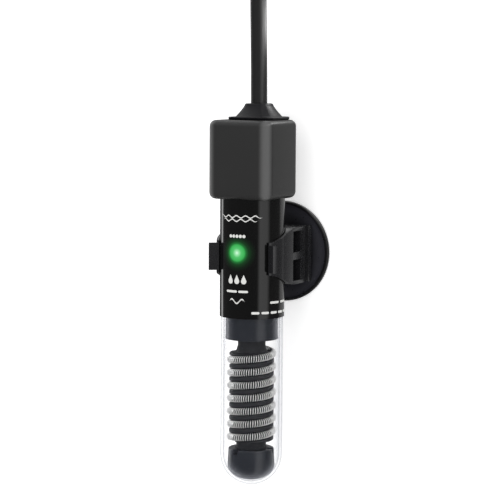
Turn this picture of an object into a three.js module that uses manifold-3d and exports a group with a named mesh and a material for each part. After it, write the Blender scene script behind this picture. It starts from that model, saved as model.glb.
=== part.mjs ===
// Submersible aquarium heater, lying on the suction cup of its clip.
// Millimetres. +Y runs along the tube towards the cord, +Z is the front with the lamp,
// and z = 0 is the surface that the cup's rim sits on.
import * as THREE from 'three';
import Module from 'manifold-3d';
import { mergeVertices } from 'three/addons/utils/BufferGeometryUtils.js';

const wasm = await Module();
wasm.setup();

// ---------------------------------------------------------------- driving dimensions
const gap = 0.3; // between pieces that sit against each other
const facets = 32; // facets of the round pieces that share the tube's axis

const glassRadius = 11;
const glassWall = 1;
const glassLength = 110; // closed tip to open mouth

const sleeveClearance = 0.1;
const sleeveWall = 0.3;
const sleeveShown = 41.5; // length of sleeve below the cap
const sleeveInCap = 2.2;
const windowRadius = 2.9;
const windowBelowCap = 18.4; // lamp and its window, from the cap's mouth

const capMouthWall = 0.6; // wall beside the sleeve, where the cap is thinnest
const capLength = 27.5;
const capCornerRadius = 4.2;
const capEdgeRadius = 2.3;
const capTopWall = 2.3;
const glassInCap = 8.2;

const glandX = 1.6; // the gland stands off the tube's axis
const glandZ = -1.4;
const glandHeight = 5.7;
const glandTopRadius = 5;
const glandSkirtRadius = 8.2;
const glandFlangeHalf = 8.7;
const glandFlangeCorner = 3;
const glandFlangeThickness = 0.8;
const glandStemRadius = 4.5;
const glandLipWidth = 1.3;
const glandLipHeight = 1.5;

const plugStemLength = 10; // rubber seal plug in the glass mouth
const plugFlangeThickness = 2;
const sealRingSection = 0.75;
const sealRingGroove = 2.2;

const collarShown = 8.1; // collar below the sleeve
const collarLength = 11.8;
const collarClearance = 0.8;
const collarFlare = 0.25;
const upperNeckLength = 4.8;
const upperNeckInset = 1.2; // from the inside of the wound coil
const neckInSocket = 4.5;

const bumperSeat = 0.35; // from the shoulder of its dome down to the glass
const bumperLength = 11.4;
const bumperClearance = 1.65;
const bumperDome = 5.2;
const bumperTaper = 0.3; // narrower at the rim than at the dome
const bumperNotchWidth = 2;
const bumperNotches = 3; // evenly round the rim, the first over the coil's start
const lowerNeckLength = 2.85;
const lowerNeckInset = 0.8;
const lowerNeckInSocket = 1.2;
const leadRoomBelowNeck = 3.2;

const coilClearance = 1.2; // coil to glass
const coilSection = 1.35; // radius of the wound spring
const coilPitch = 4.6;
const coilEndAngle = 178.7; // behind the board, in degrees from the front towards +X
const ridgeRise = 0.45; // ridges above the coil's centre line
const ridgeChamfer = 0.4; // where the ridges meet the core's end faces
const leadBore = 1.2;
const leadRadius = 0.6;

const boardBelowCap = 4.3;
const boardLength = 31.5;
const boardThickness = 1;
const boardTop = -1.5; // below the tube's axis
const boardSideGap = 1.2;
const lampRadius = 2.5;
const wireRadius = 0.7;
const wireSpread = 3;

const clipBelowCap = 20.5; // clip centre
const clipClearance = 0.3;
const ringWall = 0.9;
const ringHalfLength = 5.7;
const clipHalfLength = 10;
const openingHalfAngle = 56;
const lipReach = 2.7;
const lipThickness = 1.6;
const lipHalfLength = 4.8;
const saddleDepth = 7;
const taperFront = 6; // the arms widen from here, in front of the axis, back to the saddle
const frameGap = 2.5; // ring's back to the frame's block
const frameWall = 1.2;
const ribThickness = 2.6;
const blockThickness = 3.8;
const blockInset = 1.2;
const plateThickness = 2.5;
const knobPocketRadius = 4.8;
const knobHoleRadius = 3.2;

const cupRadius = 18.2;
const cupHeight = 3.5; // rim plane to the boss under the plate
const cupLand = 1.6;
const cupHollow = 1.5;
const cupBossRadius = 6;
const knobRadius = 4.4;
const neckClearance = 0.3;

const cordRadius = 2.9;
const cordLift = 0.9; // the put-away cord lies on its ties
const hankFoldRadius = 17.4;
const hankRun = 96;
const hankStart = 191; // centre of the near fold
const hankLayers = 3;
const tieWidth = 5;
const tieWall = 0.6;

const mainsPlugWidth = 20;
const mainsPlugThickness = 13.4;
const mainsPlugLength = 25;
const reliefLength = 15;
const reliefRadius = 4.6;
const bladeSpacing = 12.7;
const bladeWidth = 6.35;
const bladeThickness = 1.5;
const bladeLength = 17;
const bladeRoot = 4;

// ---------------------------------------------------------------- stations along the tube
// y is measured from the glass tip in the tube's own frame.
const glassInner = glassRadius - glassWall;
const sleeveInner = glassRadius + sleeveClearance;
const sleeveOuter = sleeveInner + sleeveWall;
const capBore = sleeveOuter + gap;
const capHalf = capBore + capMouthWall;
const capStart = glassLength - glassInCap;
const capEnd = capStart + capLength;
const overallLength = capEnd + glandHeight;
const sleeveStart = capStart - sleeveShown;
const sleeveEnd = capStart + sleeveInCap;
const windowY = capStart - windowBelowCap;

const collarStart = sleeveStart - collarShown;
const collarEnd = collarStart + collarLength;
const collarRadius = glassInner - collarClearance;
const bumperRadius = glassInner - bumperClearance;
const shoulderRadius = bumperRadius * Math.SQRT1_2;
const glassUnderShoulder = glassRadius - Math.sqrt(glassInner ** 2 - shoulderRadius ** 2);
const bumperStart = glassUnderShoulder + bumperSeat - bumperDome * (1 - Math.SQRT1_2);
const bumperEnd = bumperStart + bumperLength;
const coreStart = bumperEnd + lowerNeckLength;
const coreEnd = collarStart - upperNeckLength;

const coilRadius = glassInner - coilClearance - coilSection;
const coilStart = coreStart + 0.1;
const coilEnd = coreEnd + 0.4;
const coilTurns = (coilEnd - coilStart) / coilPitch;
const coilStartAngle = coilEndAngle - 360 * coilTurns;
const upperNeckRadius = coilRadius - coilSection - upperNeckInset;
const lowerNeckRadius = coilRadius - coilSection - lowerNeckInset;
const coreRadius = coilRadius + ridgeRise;

const boardEnd = capStart - boardBelowCap;
const boardStart = boardEnd - boardLength;

const clipY = capStart - clipBelowCap;
const ringInner = sleeveOuter + clipClearance;
const ringOuter = ringInner + ringWall;
const blockFront = ringOuter + frameGap; // distances behind the tube's axis
const plateFront = blockFront + blockThickness;
const plateBack = plateFront + plateThickness;
const axisHeight = plateBack + gap + cupHeight;

// ---------------------------------------------------------------- materials
const finish = (color, roughness, metalness = 0) =>
  new THREE.MeshStandardMaterial({ color, roughness, metalness });
const clearGlass = () => {
  const material = finish(0xe8eef0, 0.05);
  material.transparent = true;
  material.opacity = 0.3;
  return material;
};
const capPlastic = () => finish(0x363636, 0.5);
const sleeveFilm = () => finish(0x111111, 0.2);
const blackRubber = () => finish(0x1a1a1c, 0.6);
const clipPlastic = () => finish(0x222224, 0.4);
const darkPlastic = () => finish(0x2a2d30, 0.4);
const ceramic = () => finish(0x3c3c3c, 0.8);
const heatingWire = () => finish(0xb0b0b0, 0.35, 0.9);
const bareMetal = () => finish(0xc8c4b8, 0.3, 1);
const cordJacket = () => finish(0x242424, 0.5);

// ---------------------------------------------------------------- shape helpers
const heater = new THREE.Group();
const onAxis = new THREE.Group(); // the tube's frame: axis along Y, tip at y = 0
onAxis.position.set(0, -overallLength / 2, axisHeight);
heater.add(onAxis);

function addPiece(parent, name, geometry, material) {
  const mesh = new THREE.Mesh(geometry, material);
  mesh.name = name;
  parent.add(mesh);
  return mesh;
}

function toSolid(geometry) {
  const bare = geometry.index ? geometry.toNonIndexed() : geometry.clone();
  bare.deleteAttribute('normal');
  bare.deleteAttribute('uv');
  const merged = mergeVertices(bare, 1e-4);
  return new wasm.Manifold(new wasm.Mesh({
    numProp: 3,
    vertProperties: Float32Array.from(merged.attributes.position.array),
    triVerts: Uint32Array.from(merged.index.array),
  }));
}

function toGeometry(solid) {
  const mesh = solid.getMesh();
  const geometry = new THREE.BufferGeometry();
  geometry.setAttribute('position', new THREE.BufferAttribute(mesh.vertProperties, 3));
  geometry.setIndex(new THREE.BufferAttribute(mesh.triVerts, 1));
  geometry.computeVertexNormals();
  return geometry;
}

const cut = (body, ...tools) => tools.reduce((rest, tool) => rest.subtract(tool), body);
const join = (body, ...others) => others.reduce((all, other) => all.add(other), body);
const radians = THREE.MathUtils.degToRad;

// A turned piece about Y from [radius, y] pairs, run up the outside and down the inside.
function turned(profile, segments = facets) {
  return new THREE.LatheGeometry(profile.map(([r, y]) => new THREE.Vector2(r, y)), segments);
}

const rod = (radius, from, to, segments = facets) =>
  turned([[0, from], [radius, from], [radius, to], [0, to]], segments);

// Quarter turns of an ellipse, as profile points, angles in degrees from the axis' foot.
function ellipseArc(centreY, radius, height, fromAngle, toAngle, steps) {
  return Array.from({ length: steps + 1 }, (_, i) => {
    const angle = radians(fromAngle + ((toAngle - fromAngle) * i) / steps);
    return [Math.max(0, radius * Math.sin(angle)), centreY - height * Math.cos(angle)];
  });
}

function block(x0, x1, y0, y1, z0, z1) {
  const geometry = new THREE.BoxGeometry(x1 - x0, y1 - y0, z1 - z0);
  return geometry.translate((x0 + x1) / 2, (y0 + y1) / 2, (z0 + z1) / 2);
}

// Shape x and y become X and Z; the prism is centred on y.
function prismAlongY(shape, length, centreY = 0, curveSegments = 24) {
  const geometry = new THREE.ExtrudeGeometry(shape, { depth: length, bevelEnabled: false, curveSegments });
  const turn = new THREE.Matrix4().makeBasis(
    new THREE.Vector3(1, 0, 0), new THREE.Vector3(0, 0, 1), new THREE.Vector3(0, -1, 0));
  return geometry.applyMatrix4(turn).translate(0, centreY + length / 2, 0);
}

// Shape x and y become Y and Z; the prism is centred on x.
function prismAlongX(shape, length) {
  const geometry = new THREE.ExtrudeGeometry(shape, { depth: length, bevelEnabled: false });
  const turn = new THREE.Matrix4().makeBasis(
    new THREE.Vector3(0, 1, 0), new THREE.Vector3(0, 0, 1), new THREE.Vector3(1, 0, 0));
  return geometry.applyMatrix4(turn).translate(-length / 2, 0, 0);
}

function roundedRectangle(halfWidth, halfHeight, corner) {
  const shape = new THREE.Shape();
  const x = halfWidth - corner;
  const y = halfHeight - corner;
  shape.absarc(x, y, corner, 0, Math.PI / 2, false);
  shape.absarc(-x, y, corner, Math.PI / 2, Math.PI, false);
  shape.absarc(-x, -y, corner, Math.PI, 1.5 * Math.PI, false);
  shape.absarc(x, -y, corner, 1.5 * Math.PI, 2 * Math.PI, false);
  shape.closePath();
  return shape;
}

function polygonShape(points) {
  return new THREE.Shape(points.map(([x, y]) => new THREE.Vector2(x, y)));
}

// A regular section, the corners on the stated radius.
function roundSection(radius, sides) {
  return polygonShape(Array.from({ length: sides }, (_, i) => {
    const angle = (2 * Math.PI * i) / sides;
    return [radius * Math.cos(angle), radius * Math.sin(angle)];
  }));
}

function tubeAlong(curve, radius, steps, sides) {
  return new THREE.ExtrudeGeometry(roundSection(radius, sides), {
    steps, bevelEnabled: false, extrudePath: curve,
  });
}

function routed(points, radius, steps, sides = 8) {
  const curve = new THREE.CatmullRomCurve3(points.map((p) => new THREE.Vector3(...p)));
  return tubeAlong(curve, radius, steps, sides);
}

class Helix extends THREE.Curve {
  constructor(radius, startY, startAngle, pitch, turns) {
    super();
    Object.assign(this, { radius, startY, startAngle, pitch, turns });
  }

  getPoint(t, target = new THREE.Vector3()) {
    const angle = radians(this.startAngle + 360 * this.turns * t);
    const y = this.startY + this.pitch * this.turns * t;
    return target.set(this.radius * Math.sin(angle), y, this.radius * Math.cos(angle));
  }
}

// ---------------------------------------------------------------- glass, sleeve and cap
function makeGlassTube() {
  const domeSteps = 7;
  const outside = ellipseArc(glassRadius, glassRadius, glassRadius, 0, 90, domeSteps);
  const inside = ellipseArc(glassRadius, glassInner, glassInner, 90, 0, domeSteps);
  return turned([...outside, [glassRadius, glassLength], [glassInner, glassLength], ...inside]);
}

function makeLabelSleeve() {
  const tube = turned([
    [sleeveInner, sleeveStart], [sleeveOuter, sleeveStart],
    [sleeveOuter, sleeveEnd], [sleeveInner, sleeveEnd], [sleeveInner, sleeveStart],
  ]);
  const window = rod(windowRadius, 0, 2 * glassRadius, 20).rotateX(Math.PI / 2);
  return toGeometry(cut(toSolid(tube), toSolid(window.translate(0, windowY, 0))));
}

function makeHeadCap() {
  const flatHalf = capHalf - capEdgeRadius;
  const outline = roundedRectangle(flatHalf, flatHalf, capCornerRadius - capEdgeRadius);
  const shell = new THREE.ExtrudeGeometry(outline, {
    depth: capLength - 2 * capEdgeRadius, curveSegments: 5, steps: 1,
    bevelThickness: capEdgeRadius, bevelSize: capEdgeRadius, bevelSegments: 4,
  });
  shell.rotateX(-Math.PI / 2).translate(0, capStart + capEdgeRadius, 0);
  const plugTop = glassLength + gap + plugFlangeThickness;
  const cavity = turned([
    [0, capStart - 1], [capBore, capStart - 1], [capBore, sleeveEnd + gap],
    [glassRadius + gap, sleeveEnd + gap], [glassRadius + gap, plugTop + gap],
    [glassInner, plugTop + gap], [glassInner, capEnd - capTopWall], [0, capEnd - capTopWall],
  ]);
  const glandHole = rod(glandStemRadius + gap, capEnd - capTopWall - 1, capEnd + 1, 24);
  glandHole.translate(glandX, 0, glandZ);
  return toGeometry(cut(toSolid(shell), toSolid(cavity), toSolid(glandHole)));
}

function makeCordGland() {
  const foot = capEnd + gap;
  const skirt = foot + glandFlangeThickness;
  const top = capEnd + glandHeight;
  const lipTop = capEnd - capTopWall - gap;
  const flare = Array.from({ length: 6 }, (_, i) => {
    const share = i / 5;
    const radius = glandTopRadius + (glandSkirtRadius - glandTopRadius) * (1 - share) ** 1.3;
    return [radius, skirt - gap / 2 + (top - 0.5 - skirt + gap / 2) * share];
  });
  const cone = turned([
    [0, lipTop - glandLipHeight], [glandStemRadius + glandLipWidth - 0.4, lipTop - glandLipHeight],
    [glandStemRadius + glandLipWidth, lipTop], [glandStemRadius, lipTop],
    [glandStemRadius, skirt - gap / 2], ...flare, [glandTopRadius - 0.4, top], [0, top],
  ], 24);
  const flange = prismAlongY(
    roundedRectangle(glandFlangeHalf, glandFlangeHalf, glandFlangeCorner),
    glandFlangeThickness, foot + glandFlangeThickness / 2, 5);
  return toGeometry(join(toSolid(cone), toSolid(flange))).translate(glandX, 0, glandZ);
}

// ---------------------------------------------------------------- seals
function makeSealPlug() {
  const mouth = glassLength + gap;
  const stem = glassInner - gap;
  const foot = glassLength - plugStemLength;
  const grooveFloor = glassInner - 0.1 - 2 * sealRingSection - 0.2;
  const grooveY = (foot + glassLength) / 2;
  const body = turned([
    [0, foot], [stem, foot], [stem, grooveY - sealRingGroove / 2], [grooveFloor, grooveY - sealRingGroove / 2],
    [grooveFloor, grooveY + sealRingGroove / 2], [stem, grooveY + sealRingGroove / 2], [stem, mouth],
    [glassRadius, mouth], [glassRadius, mouth + plugFlangeThickness], [0, mouth + plugFlangeThickness],
  ]);
  const holes = [-wireSpread, wireSpread].map((x) =>
    toSolid(rod(wireRadius + gap, foot - 1, mouth + plugFlangeThickness + 1, 12).translate(x, 0, 0)));
  return toGeometry(cut(toSolid(body), ...holes));
}

function makeSealRing() {
  const middle = glassInner - 0.1 - sealRingSection;
  const y = glassLength - plugStemLength / 2;
  const sides = 7;
  const section = Array.from({ length: sides + 1 }, (_, i) => {
    const angle = (2 * Math.PI * i) / sides;
    return [middle + sealRingSection * Math.cos(angle), y + sealRingSection * Math.sin(angle)];
  });
  return turned(section);
}

// ---------------------------------------------------------------- heating element
const leadX = coilRadius * Math.sin(radians(coilEndAngle)); // the upper lead rises from the coil's end
const leadZ = coilRadius * Math.cos(radians(coilEndAngle));

function makeCoreCollar() {
  const socketEnd = collarStart + neckInSocket + gap;
  const body = turned([
    [0, collarStart], [collarRadius + collarFlare, collarStart],
    [collarRadius, collarStart + 1.5], [collarRadius, collarEnd], [0, collarEnd],
  ]);
  const socket = rod(upperNeckRadius + gap, collarStart - 1, socketEnd, 24);
  const bore = rod(leadBore, collarStart, collarEnd + 1, 12);
  const leadHole = rod(leadRadius + gap, collarStart - 1, collarEnd + 1, 12).translate(leadX, 0, leadZ);
  return toGeometry(cut(toSolid(body), toSolid(socket), toSolid(bore), toSolid(leadHole)));
}

function makeCeramicCore() {
  const foot = bumperEnd - lowerNeckInSocket;
  const top = collarStart + neckInSocket;
  const body = turned([
    [0, foot], [lowerNeckRadius, foot], [lowerNeckRadius, coreStart],
    [coreRadius - ridgeChamfer, coreStart], [coreRadius, coreStart + ridgeChamfer],
    [coreRadius, coreEnd - ridgeChamfer], [coreRadius - ridgeChamfer, coreEnd],
    [upperNeckRadius + 0.6, coreEnd], [upperNeckRadius, coreEnd + 2.5],
    [upperNeckRadius, top], [0, top],
  ], 28);
  const overrun = 0.5; // turns of groove past each end of the coil
  const groovePath = new Helix(coilRadius, coilStart - coilPitch * overrun,
    coilStartAngle - 360 * overrun, coilPitch, coilTurns + 2 * overrun);
  const grooveSteps = Math.round(14 * (coilTurns + 2 * overrun));
  const groove = tubeAlong(groovePath, coilSection + gap + 0.1, grooveSteps, 8);
  const bore = rod(leadBore, foot - 1, top + 1, 12);
  const neckGuard = turned([
    [0, foot - 1], [lowerNeckRadius, foot - 1], [lowerNeckRadius, coreStart], [0, coreStart],
  ], 28);
  const grooved = cut(toSolid(body), toSolid(groove));
  return toGeometry(cut(join(grooved, toSolid(neckGuard).intersect(toSolid(body))), toSolid(bore)));
}

function makeHeatingCoil() {
  const path = new Helix(coilRadius, coilStart, coilStartAngle, coilPitch, coilTurns);
  return tubeAlong(path, coilSection, Math.round(14 * coilTurns), 8);
}

function makeBumper() {
  const socketFloor = bumperEnd - lowerNeckInSocket - leadRoomBelowNeck;
  const dome = ellipseArc(bumperStart + bumperDome, bumperRadius, bumperDome, 0, 90, 6);
  const body = turned([...dome, [bumperRadius - bumperTaper, bumperEnd], [0, bumperEnd]]);
  const socket = rod(lowerNeckRadius + gap, socketFloor, bumperEnd + 1, 28);
  const notches = Array.from({ length: bumperNotches }, (_, i) => toSolid(
    block(-bumperNotchWidth / 2, bumperNotchWidth / 2, socketFloor, bumperEnd + 1, 0, bumperRadius + 1)
      .rotateY(radians(coilStartAngle + (360 * i) / bumperNotches))));
  return toGeometry(cut(toSolid(body), toSolid(socket), ...notches));
}

// ---------------------------------------------------------------- electronics
// How far a piece that is halfWidth off the middle may rise inside the glass.
const headroom = (halfWidth, room = 0.8) => Math.sqrt((glassInner - room) ** 2 - halfWidth ** 2);
const onBoard = boardTop + gap;

function makeCircuitBoard() {
  const half = headroom(Math.abs(boardTop) + boardThickness, boardSideGap);
  return prismAlongY(polygonShape([
    [-half, boardTop - boardThickness], [half, boardTop - boardThickness], [half, boardTop], [-half, boardTop],
  ]), boardLength, (boardStart + boardEnd) / 2);
}

function makeLamp() {
  const top = headroom(lampRadius);
  const dome = ellipseArc(0, lampRadius, lampRadius, 90, 180, 5).map(([r, y]) => [r, y + top - lampRadius]);
  const lens = turned([
    [0, onBoard], [lampRadius + 0.4, onBoard], [lampRadius + 0.4, onBoard + 1], [lampRadius, onBoard + 1], ...dome,
  ], 20);
  return lens.rotateX(Math.PI / 2).translate(0, windowY, 0);
}

function makeFilmCapacitor() {
  const outer = 7;
  return block(2.2, outer, windowY + 3.6, windowY + 10, onBoard, headroom(outer));
}

function makeSmoothingCapacitor() {
  const radius = 2.4;
  const can = turned([
    [0, 0], [radius - 0.3, 0], [radius, 0.3], [radius, 6.1], [radius - 0.3, 6.4], [0, 6.4],
  ], 16);
  return can.translate(-4.5, windowY + 3.6, onBoard + radius);
}

function makeTriac() {
  const shape = polygonShape([
    [-6.4, onBoard], [-1.9, onBoard], [-1.9, onBoard + 2.2], [-3, onBoard + 3.6], [-5.3, onBoard + 3.6],
    [-6.4, onBoard + 2.2],
  ]);
  return prismAlongY(shape, 4.5, windowY - 6.5);
}

function makeControlChip() {
  const under = boardTop - boardThickness - gap;
  return block(-2, 2, windowY - 3, windowY + 3, under - 1.6, under);
}

function makeDropperResistor() {
  const body = turned([
    [0, 0], [1, 0], [1.4, 0.6], [1.4, 1.8], [1.1, 2.2], [1.1, 5], [1.4, 5.4], [1.4, 6.6], [1, 7.2], [0, 7.2],
  ], 12);
  return body.translate(5, windowY - 11, onBoard + 1.4);
}

function makeThermalFuse() {
  const body = turned([[0, 0], [1.2, 0], [1.6, 0.6], [1.6, 8.2], [0.7, 9.6], [0, 9.6]], 14);
  return body.translate(1, windowY - 13.5, onBoard + 1.6);
}

function makeTemperatureSensor() {
  const under = boardTop - boardThickness - gap;
  const beadRadius = 1.3;
  const x = 3;
  const reach = headroom(x + beadRadius, 0.9) + under; // from the board down to the glass
  const beadHalfLength = 0.32 * reach;
  const bead = ellipseArc(reach - under - beadHalfLength, beadRadius, beadHalfLength, 0, 180, 6);
  const drop = turned([[0, -under], [0.7, -under], [0.8, 0.38 * reach - under], ...bead.slice(2)], 12);
  return drop.rotateX(-Math.PI / 2).translate(x, windowY - 9, 0);
}

function makeSupplyWire(side) {
  const stemFoot = capEnd - capTopWall - gap - glandLipHeight - gap;
  const mouth = glassLength + gap + plugFlangeThickness;
  const x = side * wireSpread;
  const overBoard = boardTop + gap + wireRadius + 0.1;
  return routed([
    [glandX + side * 1.4, stemFoot, glandZ], [glandX + side * 1.6, stemFoot - 3, glandZ],
    [x + 0.3, mouth + 3, -0.4], [x, mouth, 0], [x, mouth - 6, 0], [x, glassLength - plugStemLength, 0],
    [x, boardEnd, overBoard], [x, boardEnd - 2.5, overBoard],
  ], wireRadius, 22);
}

function makeUpperCrimp() {
  const foot = coilEnd + coilSection + gap;
  return rod(1.1, foot, foot + 2.5, 12).translate(leadX, 0, leadZ);
}

function makeUpperLead() {
  const foot = coilEnd + coilSection + 2.5 + 2 * gap;
  const under = boardTop - boardThickness - gap - leadRadius;
  return routed([
    [leadX, foot, leadZ], [leadX, foot + 4, leadZ], [leadX, collarEnd, leadZ],
    [leadX, boardStart + 1.5, Math.min(under, leadZ * 0.6)], [leadX - 1, boardStart + 5, under],
    [leadX - 1, boardStart + 7, under],
  ], leadRadius, 16, 6);
}

function makeReturnLead() {
  const angle = radians(coilStartAngle);
  const turnY = bumperEnd - lowerNeckInSocket - leadRoomBelowNeck / 2;
  const at = (radius, y) => [radius * Math.sin(angle), y, radius * Math.cos(angle)];
  const bend = 1.2;
  return routed([
    at(coilRadius, coilStart - coilSection - gap - 0.1), at(coilRadius, turnY + bend),
    at(coilRadius - bend / 2, turnY + 0.2), at(coilRadius - 2 * bend, turnY), at(2, turnY),
    [0, turnY + 1, 0], [0, turnY + 4, 0], [0, coreStart + 5, 0], [0, (coreStart + coreEnd) / 2, 0],
    [0, coreEnd, 0], [0, collarEnd - 2, 0], [0, collarEnd + 0.8, 0],
  ], leadRadius, 44, 6);
}

// ---------------------------------------------------------------- clip and suction cup
function makeTubeClip() {
  const startAngle = Math.PI / 2 + radians(openingHalfAngle);
  const endAngle = Math.PI / 2 - radians(openingHalfAngle) + 2 * Math.PI;
  const ringShape = new THREE.Shape();
  ringShape.absarc(0, 0, ringOuter, startAngle, endAngle, false);
  ringShape.absarc(0, 0, ringInner - 0.5, endAngle, startAngle, true);
  ringShape.closePath();
  const ring = toSolid(prismAlongY(ringShape, 2 * clipHalfLength));
  const saddle = toSolid(block(-ringOuter, ringOuter, -clipHalfLength, clipHalfLength, -saddleDepth, 0));
  const sideProfile = toSolid(prismAlongX(polygonShape([
    [-clipHalfLength, -plateFront], [clipHalfLength, -plateFront], [clipHalfLength, -saddleDepth],
    [ringHalfLength, taperFront], [ringHalfLength, ringOuter], [-ringHalfLength, ringOuter],
    [-ringHalfLength, taperFront], [-clipHalfLength, -saddleDepth],
  ]), 2 * ringOuter + 2));
  const frameFront = -saddleDepth + 0.2;
  const frameBack = -blockFront - 0.2;
  const rib = toSolid(block(-ringOuter, ringOuter, -ribThickness / 2, ribThickness / 2, frameBack, frameFront));
  const endWalls = [-1, 1].map((side) => {
    const y = side * (clipHalfLength - frameWall / 2);
    return toSolid(block(-ringOuter, ringOuter, y - frameWall / 2, y + frameWall / 2, frameBack, frameFront));
  });
  const backBlock = toSolid(block(-ringOuter + blockInset, ringOuter - blockInset,
    -clipHalfLength, clipHalfLength, -plateFront - 0.2, -blockFront));
  const plate = toSolid(block(-ringOuter, ringOuter, -clipHalfLength, clipHalfLength, -plateBack, -plateFront));
  const lips = [-1, 1].map((side) => {
    const lip = block(0, lipThickness, -lipHalfLength, lipHalfLength, ringInner + 0.2, ringOuter + lipReach);
    lip.scale(side, 1, 1);
    if (side < 0) lip.index.array.reverse();
    return toSolid(lip.rotateY(side * radians(openingHalfAngle)));
  });
  const around = join(ring, saddle).intersect(sideProfile);
  const body = join(around, rib, ...endWalls, backBlock, plate, ...lips);
  const bore = toSolid(rod(ringInner, -2 * clipHalfLength, 2 * clipHalfLength, 48));
  const pocket = toSolid(rod(knobPocketRadius, blockFront - 0.2, plateFront, 24).rotateX(-Math.PI / 2));
  const hole = toSolid(rod(knobHoleRadius, plateFront - 1, plateBack + 1, 24).rotateX(-Math.PI / 2));
  return toGeometry(cut(body, bore, pocket, hole)).translate(0, clipY, 0);
}

function makeSuctionCup() {
  const neck = knobHoleRadius - neckClearance;
  const bossTop = cupHeight;
  const headFoot = axisHeight - plateFront + gap;
  const headTop = axisHeight - blockFront - 0.4;
  const landInner = cupRadius - cupLand;
  const hollow = ellipseArc(0, landInner, cupHollow, 180, 90, 5);
  const cup = turned([
    ...hollow, [cupRadius, 0], [cupRadius, 1.2], [cupRadius - 0.4, 1.8], [cupRadius - 1.1, 1.9],
    [cupRadius - 2, 1.6], [12, 2.3], [cupBossRadius + 1, 2.9], [cupBossRadius, 3.1], [cupBossRadius, bossTop],
    [neck, bossTop], [neck, headFoot], [knobRadius, headFoot], [knobRadius, headTop - 1],
    [knobRadius - 0.9, headTop], [0, headTop],
  ], 32);
  return cup.rotateX(Math.PI / 2).translate(0, clipY, -axisHeight);
}

// ---------------------------------------------------------------- cord and mains plug
// Routes are in the heater's own frame, lying on z = 0.
const leadRoute = [
  [1.6, 67.8, 23.8], [1.5, 80, 23.8], [1.3, 92, 23.8], [1.1, 104, 23.8], [1.2, 112, 23.6],
  [1.9, 120, 22.8], [3.4, 128, 21], [5.8, 136, 18.1], [8.8, 144, 14.5], [11.8, 152, 10.7],
  [14.5, 160, 7.3], [16.5, 168, 4.9], [17.3, 174, 3.9], [17.4, 176.2, 3.8],
];
const tailRoute = [
  [-11, 268.6, 12.4], [-8.4, 263.5, 11], [-4.8, 256.5, 9.2], [-2, 249, 7.7], [-0.4, 242, 7], [0, 237.4, 6.9],
];

function makePowerCord() {
  return routed(leadRoute, cordRadius, 14, 10);
}

function makeCordTail() {
  return routed(tailRoute, cordRadius, 5, 10);
}

function hankOutline(radius) {
  const outline = new THREE.Shape();
  outline.absarc(0, hankRun, radius, 0, Math.PI, false);
  outline.absarc(0, 0, radius, Math.PI, 2 * Math.PI, false);
  outline.closePath();
  return outline;
}

function makeCordHank() {
  const outline = hankOutline(hankFoldRadius + cordRadius);
  outline.holes.push(hankOutline(hankFoldRadius - cordRadius));
  const height = 2 * cordRadius * hankLayers;
  const solid = new THREE.ExtrudeGeometry(outline, { depth: height, bevelEnabled: false, curveSegments: 9 });
  return solid.translate(0, hankStart, cordLift);
}

function makeCordTie(side) {
  const halfWidth = cordRadius + gap + tieWall;
  const height = cordLift + 2 * cordRadius * hankLayers + gap + tieWall;
  const outline = roundedRectangle(halfWidth, height / 2, 1);
  outline.holes.push(roundedRectangle(halfWidth - tieWall, height / 2 - tieWall, 0.4));
  const x = side * hankFoldRadius;
  return prismAlongY(outline, tieWidth, hankStart + hankRun / 2, 3).translate(x, 0, height / 2);
}

const plugAxisHeight = mainsPlugThickness / 2 + 0.2;
const plugRear = hankStart + hankRun - 50 - gap; // end of the relief, where the cord goes in
const plugFace = plugRear - reliefLength - mainsPlugLength;

function bladeBox(side, from, to, room) {
  const x = side * (bladeSpacing / 2);
  return block(x - bladeThickness / 2 - room, x + bladeThickness / 2 + room, from, to,
    -bladeWidth / 2 - room, bladeWidth / 2 + room);
}

function makePlugBody() {
  const bevel = 1.6;
  const outline = roundedRectangle(mainsPlugWidth / 2 - bevel, mainsPlugThickness / 2 - bevel, 2.4);
  const grip = new THREE.ExtrudeGeometry(outline, {
    depth: mainsPlugLength - 2 * bevel, curveSegments: 4,
    bevelThickness: bevel, bevelSize: bevel, bevelSegments: 3,
  });
  grip.rotateX(-Math.PI / 2).translate(0, plugFace + bevel, 0);
  const flatFace = toSolid(block(-30, 30, plugFace - 5, plugFace + bevel / 2, -30, 30));
  const ribs = Array.from({ length: 4 }, (_, i) => {
    const y = plugFace + mainsPlugLength + 1.5 + i * 3;
    const radius = reliefRadius + 0.8 - 0.3 * i;
    return [[radius - 0.9, y], [radius, y], [radius, y + 1.8], [radius - 0.9, y + 1.8]];
  }).flat();
  const relief = turned([
    [0, plugFace + mainsPlugLength - 2], [reliefRadius, plugFace + mainsPlugLength - 2],
    ...ribs, [cordRadius + 0.6, plugRear], [0, plugRear],
  ], 20);
  const slots = [-1, 1].map((side) =>
    toSolid(bladeBox(side, plugFace - 1, plugFace + bevel / 2 + bladeRoot + gap, gap)));
  const solid = cut(join(toSolid(grip), toSolid(relief)), flatFace, ...slots);
  return toGeometry(solid).translate(0, 0, plugAxisHeight);
}

function makePlugBlade(side) {
  const tip = plugFace - bladeLength;
  const blade = toSolid(bladeBox(side, tip, plugFace + bladeRoot, 0));
  const hole = toSolid(rod(1.6, -bladeSpacing, bladeSpacing, 14).rotateZ(Math.PI / 2).translate(0, tip + 4, 0));
  return toGeometry(cut(blade, hole)).translate(0, 0, plugAxisHeight);
}

// ---------------------------------------------------------------- assembly
addPiece(onAxis, 'glass_tube', makeGlassTube(), clearGlass());
addPiece(onAxis, 'label_sleeve', makeLabelSleeve(), sleeveFilm());
addPiece(onAxis, 'head_cap', makeHeadCap(), capPlastic());
addPiece(onAxis, 'cord_gland', makeCordGland(), blackRubber());
addPiece(onAxis, 'seal_plug', makeSealPlug(), finish(0x303234, 0.7));
addPiece(onAxis, 'seal_ring', makeSealRing(), finish(0x151515, 0.6));

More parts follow.
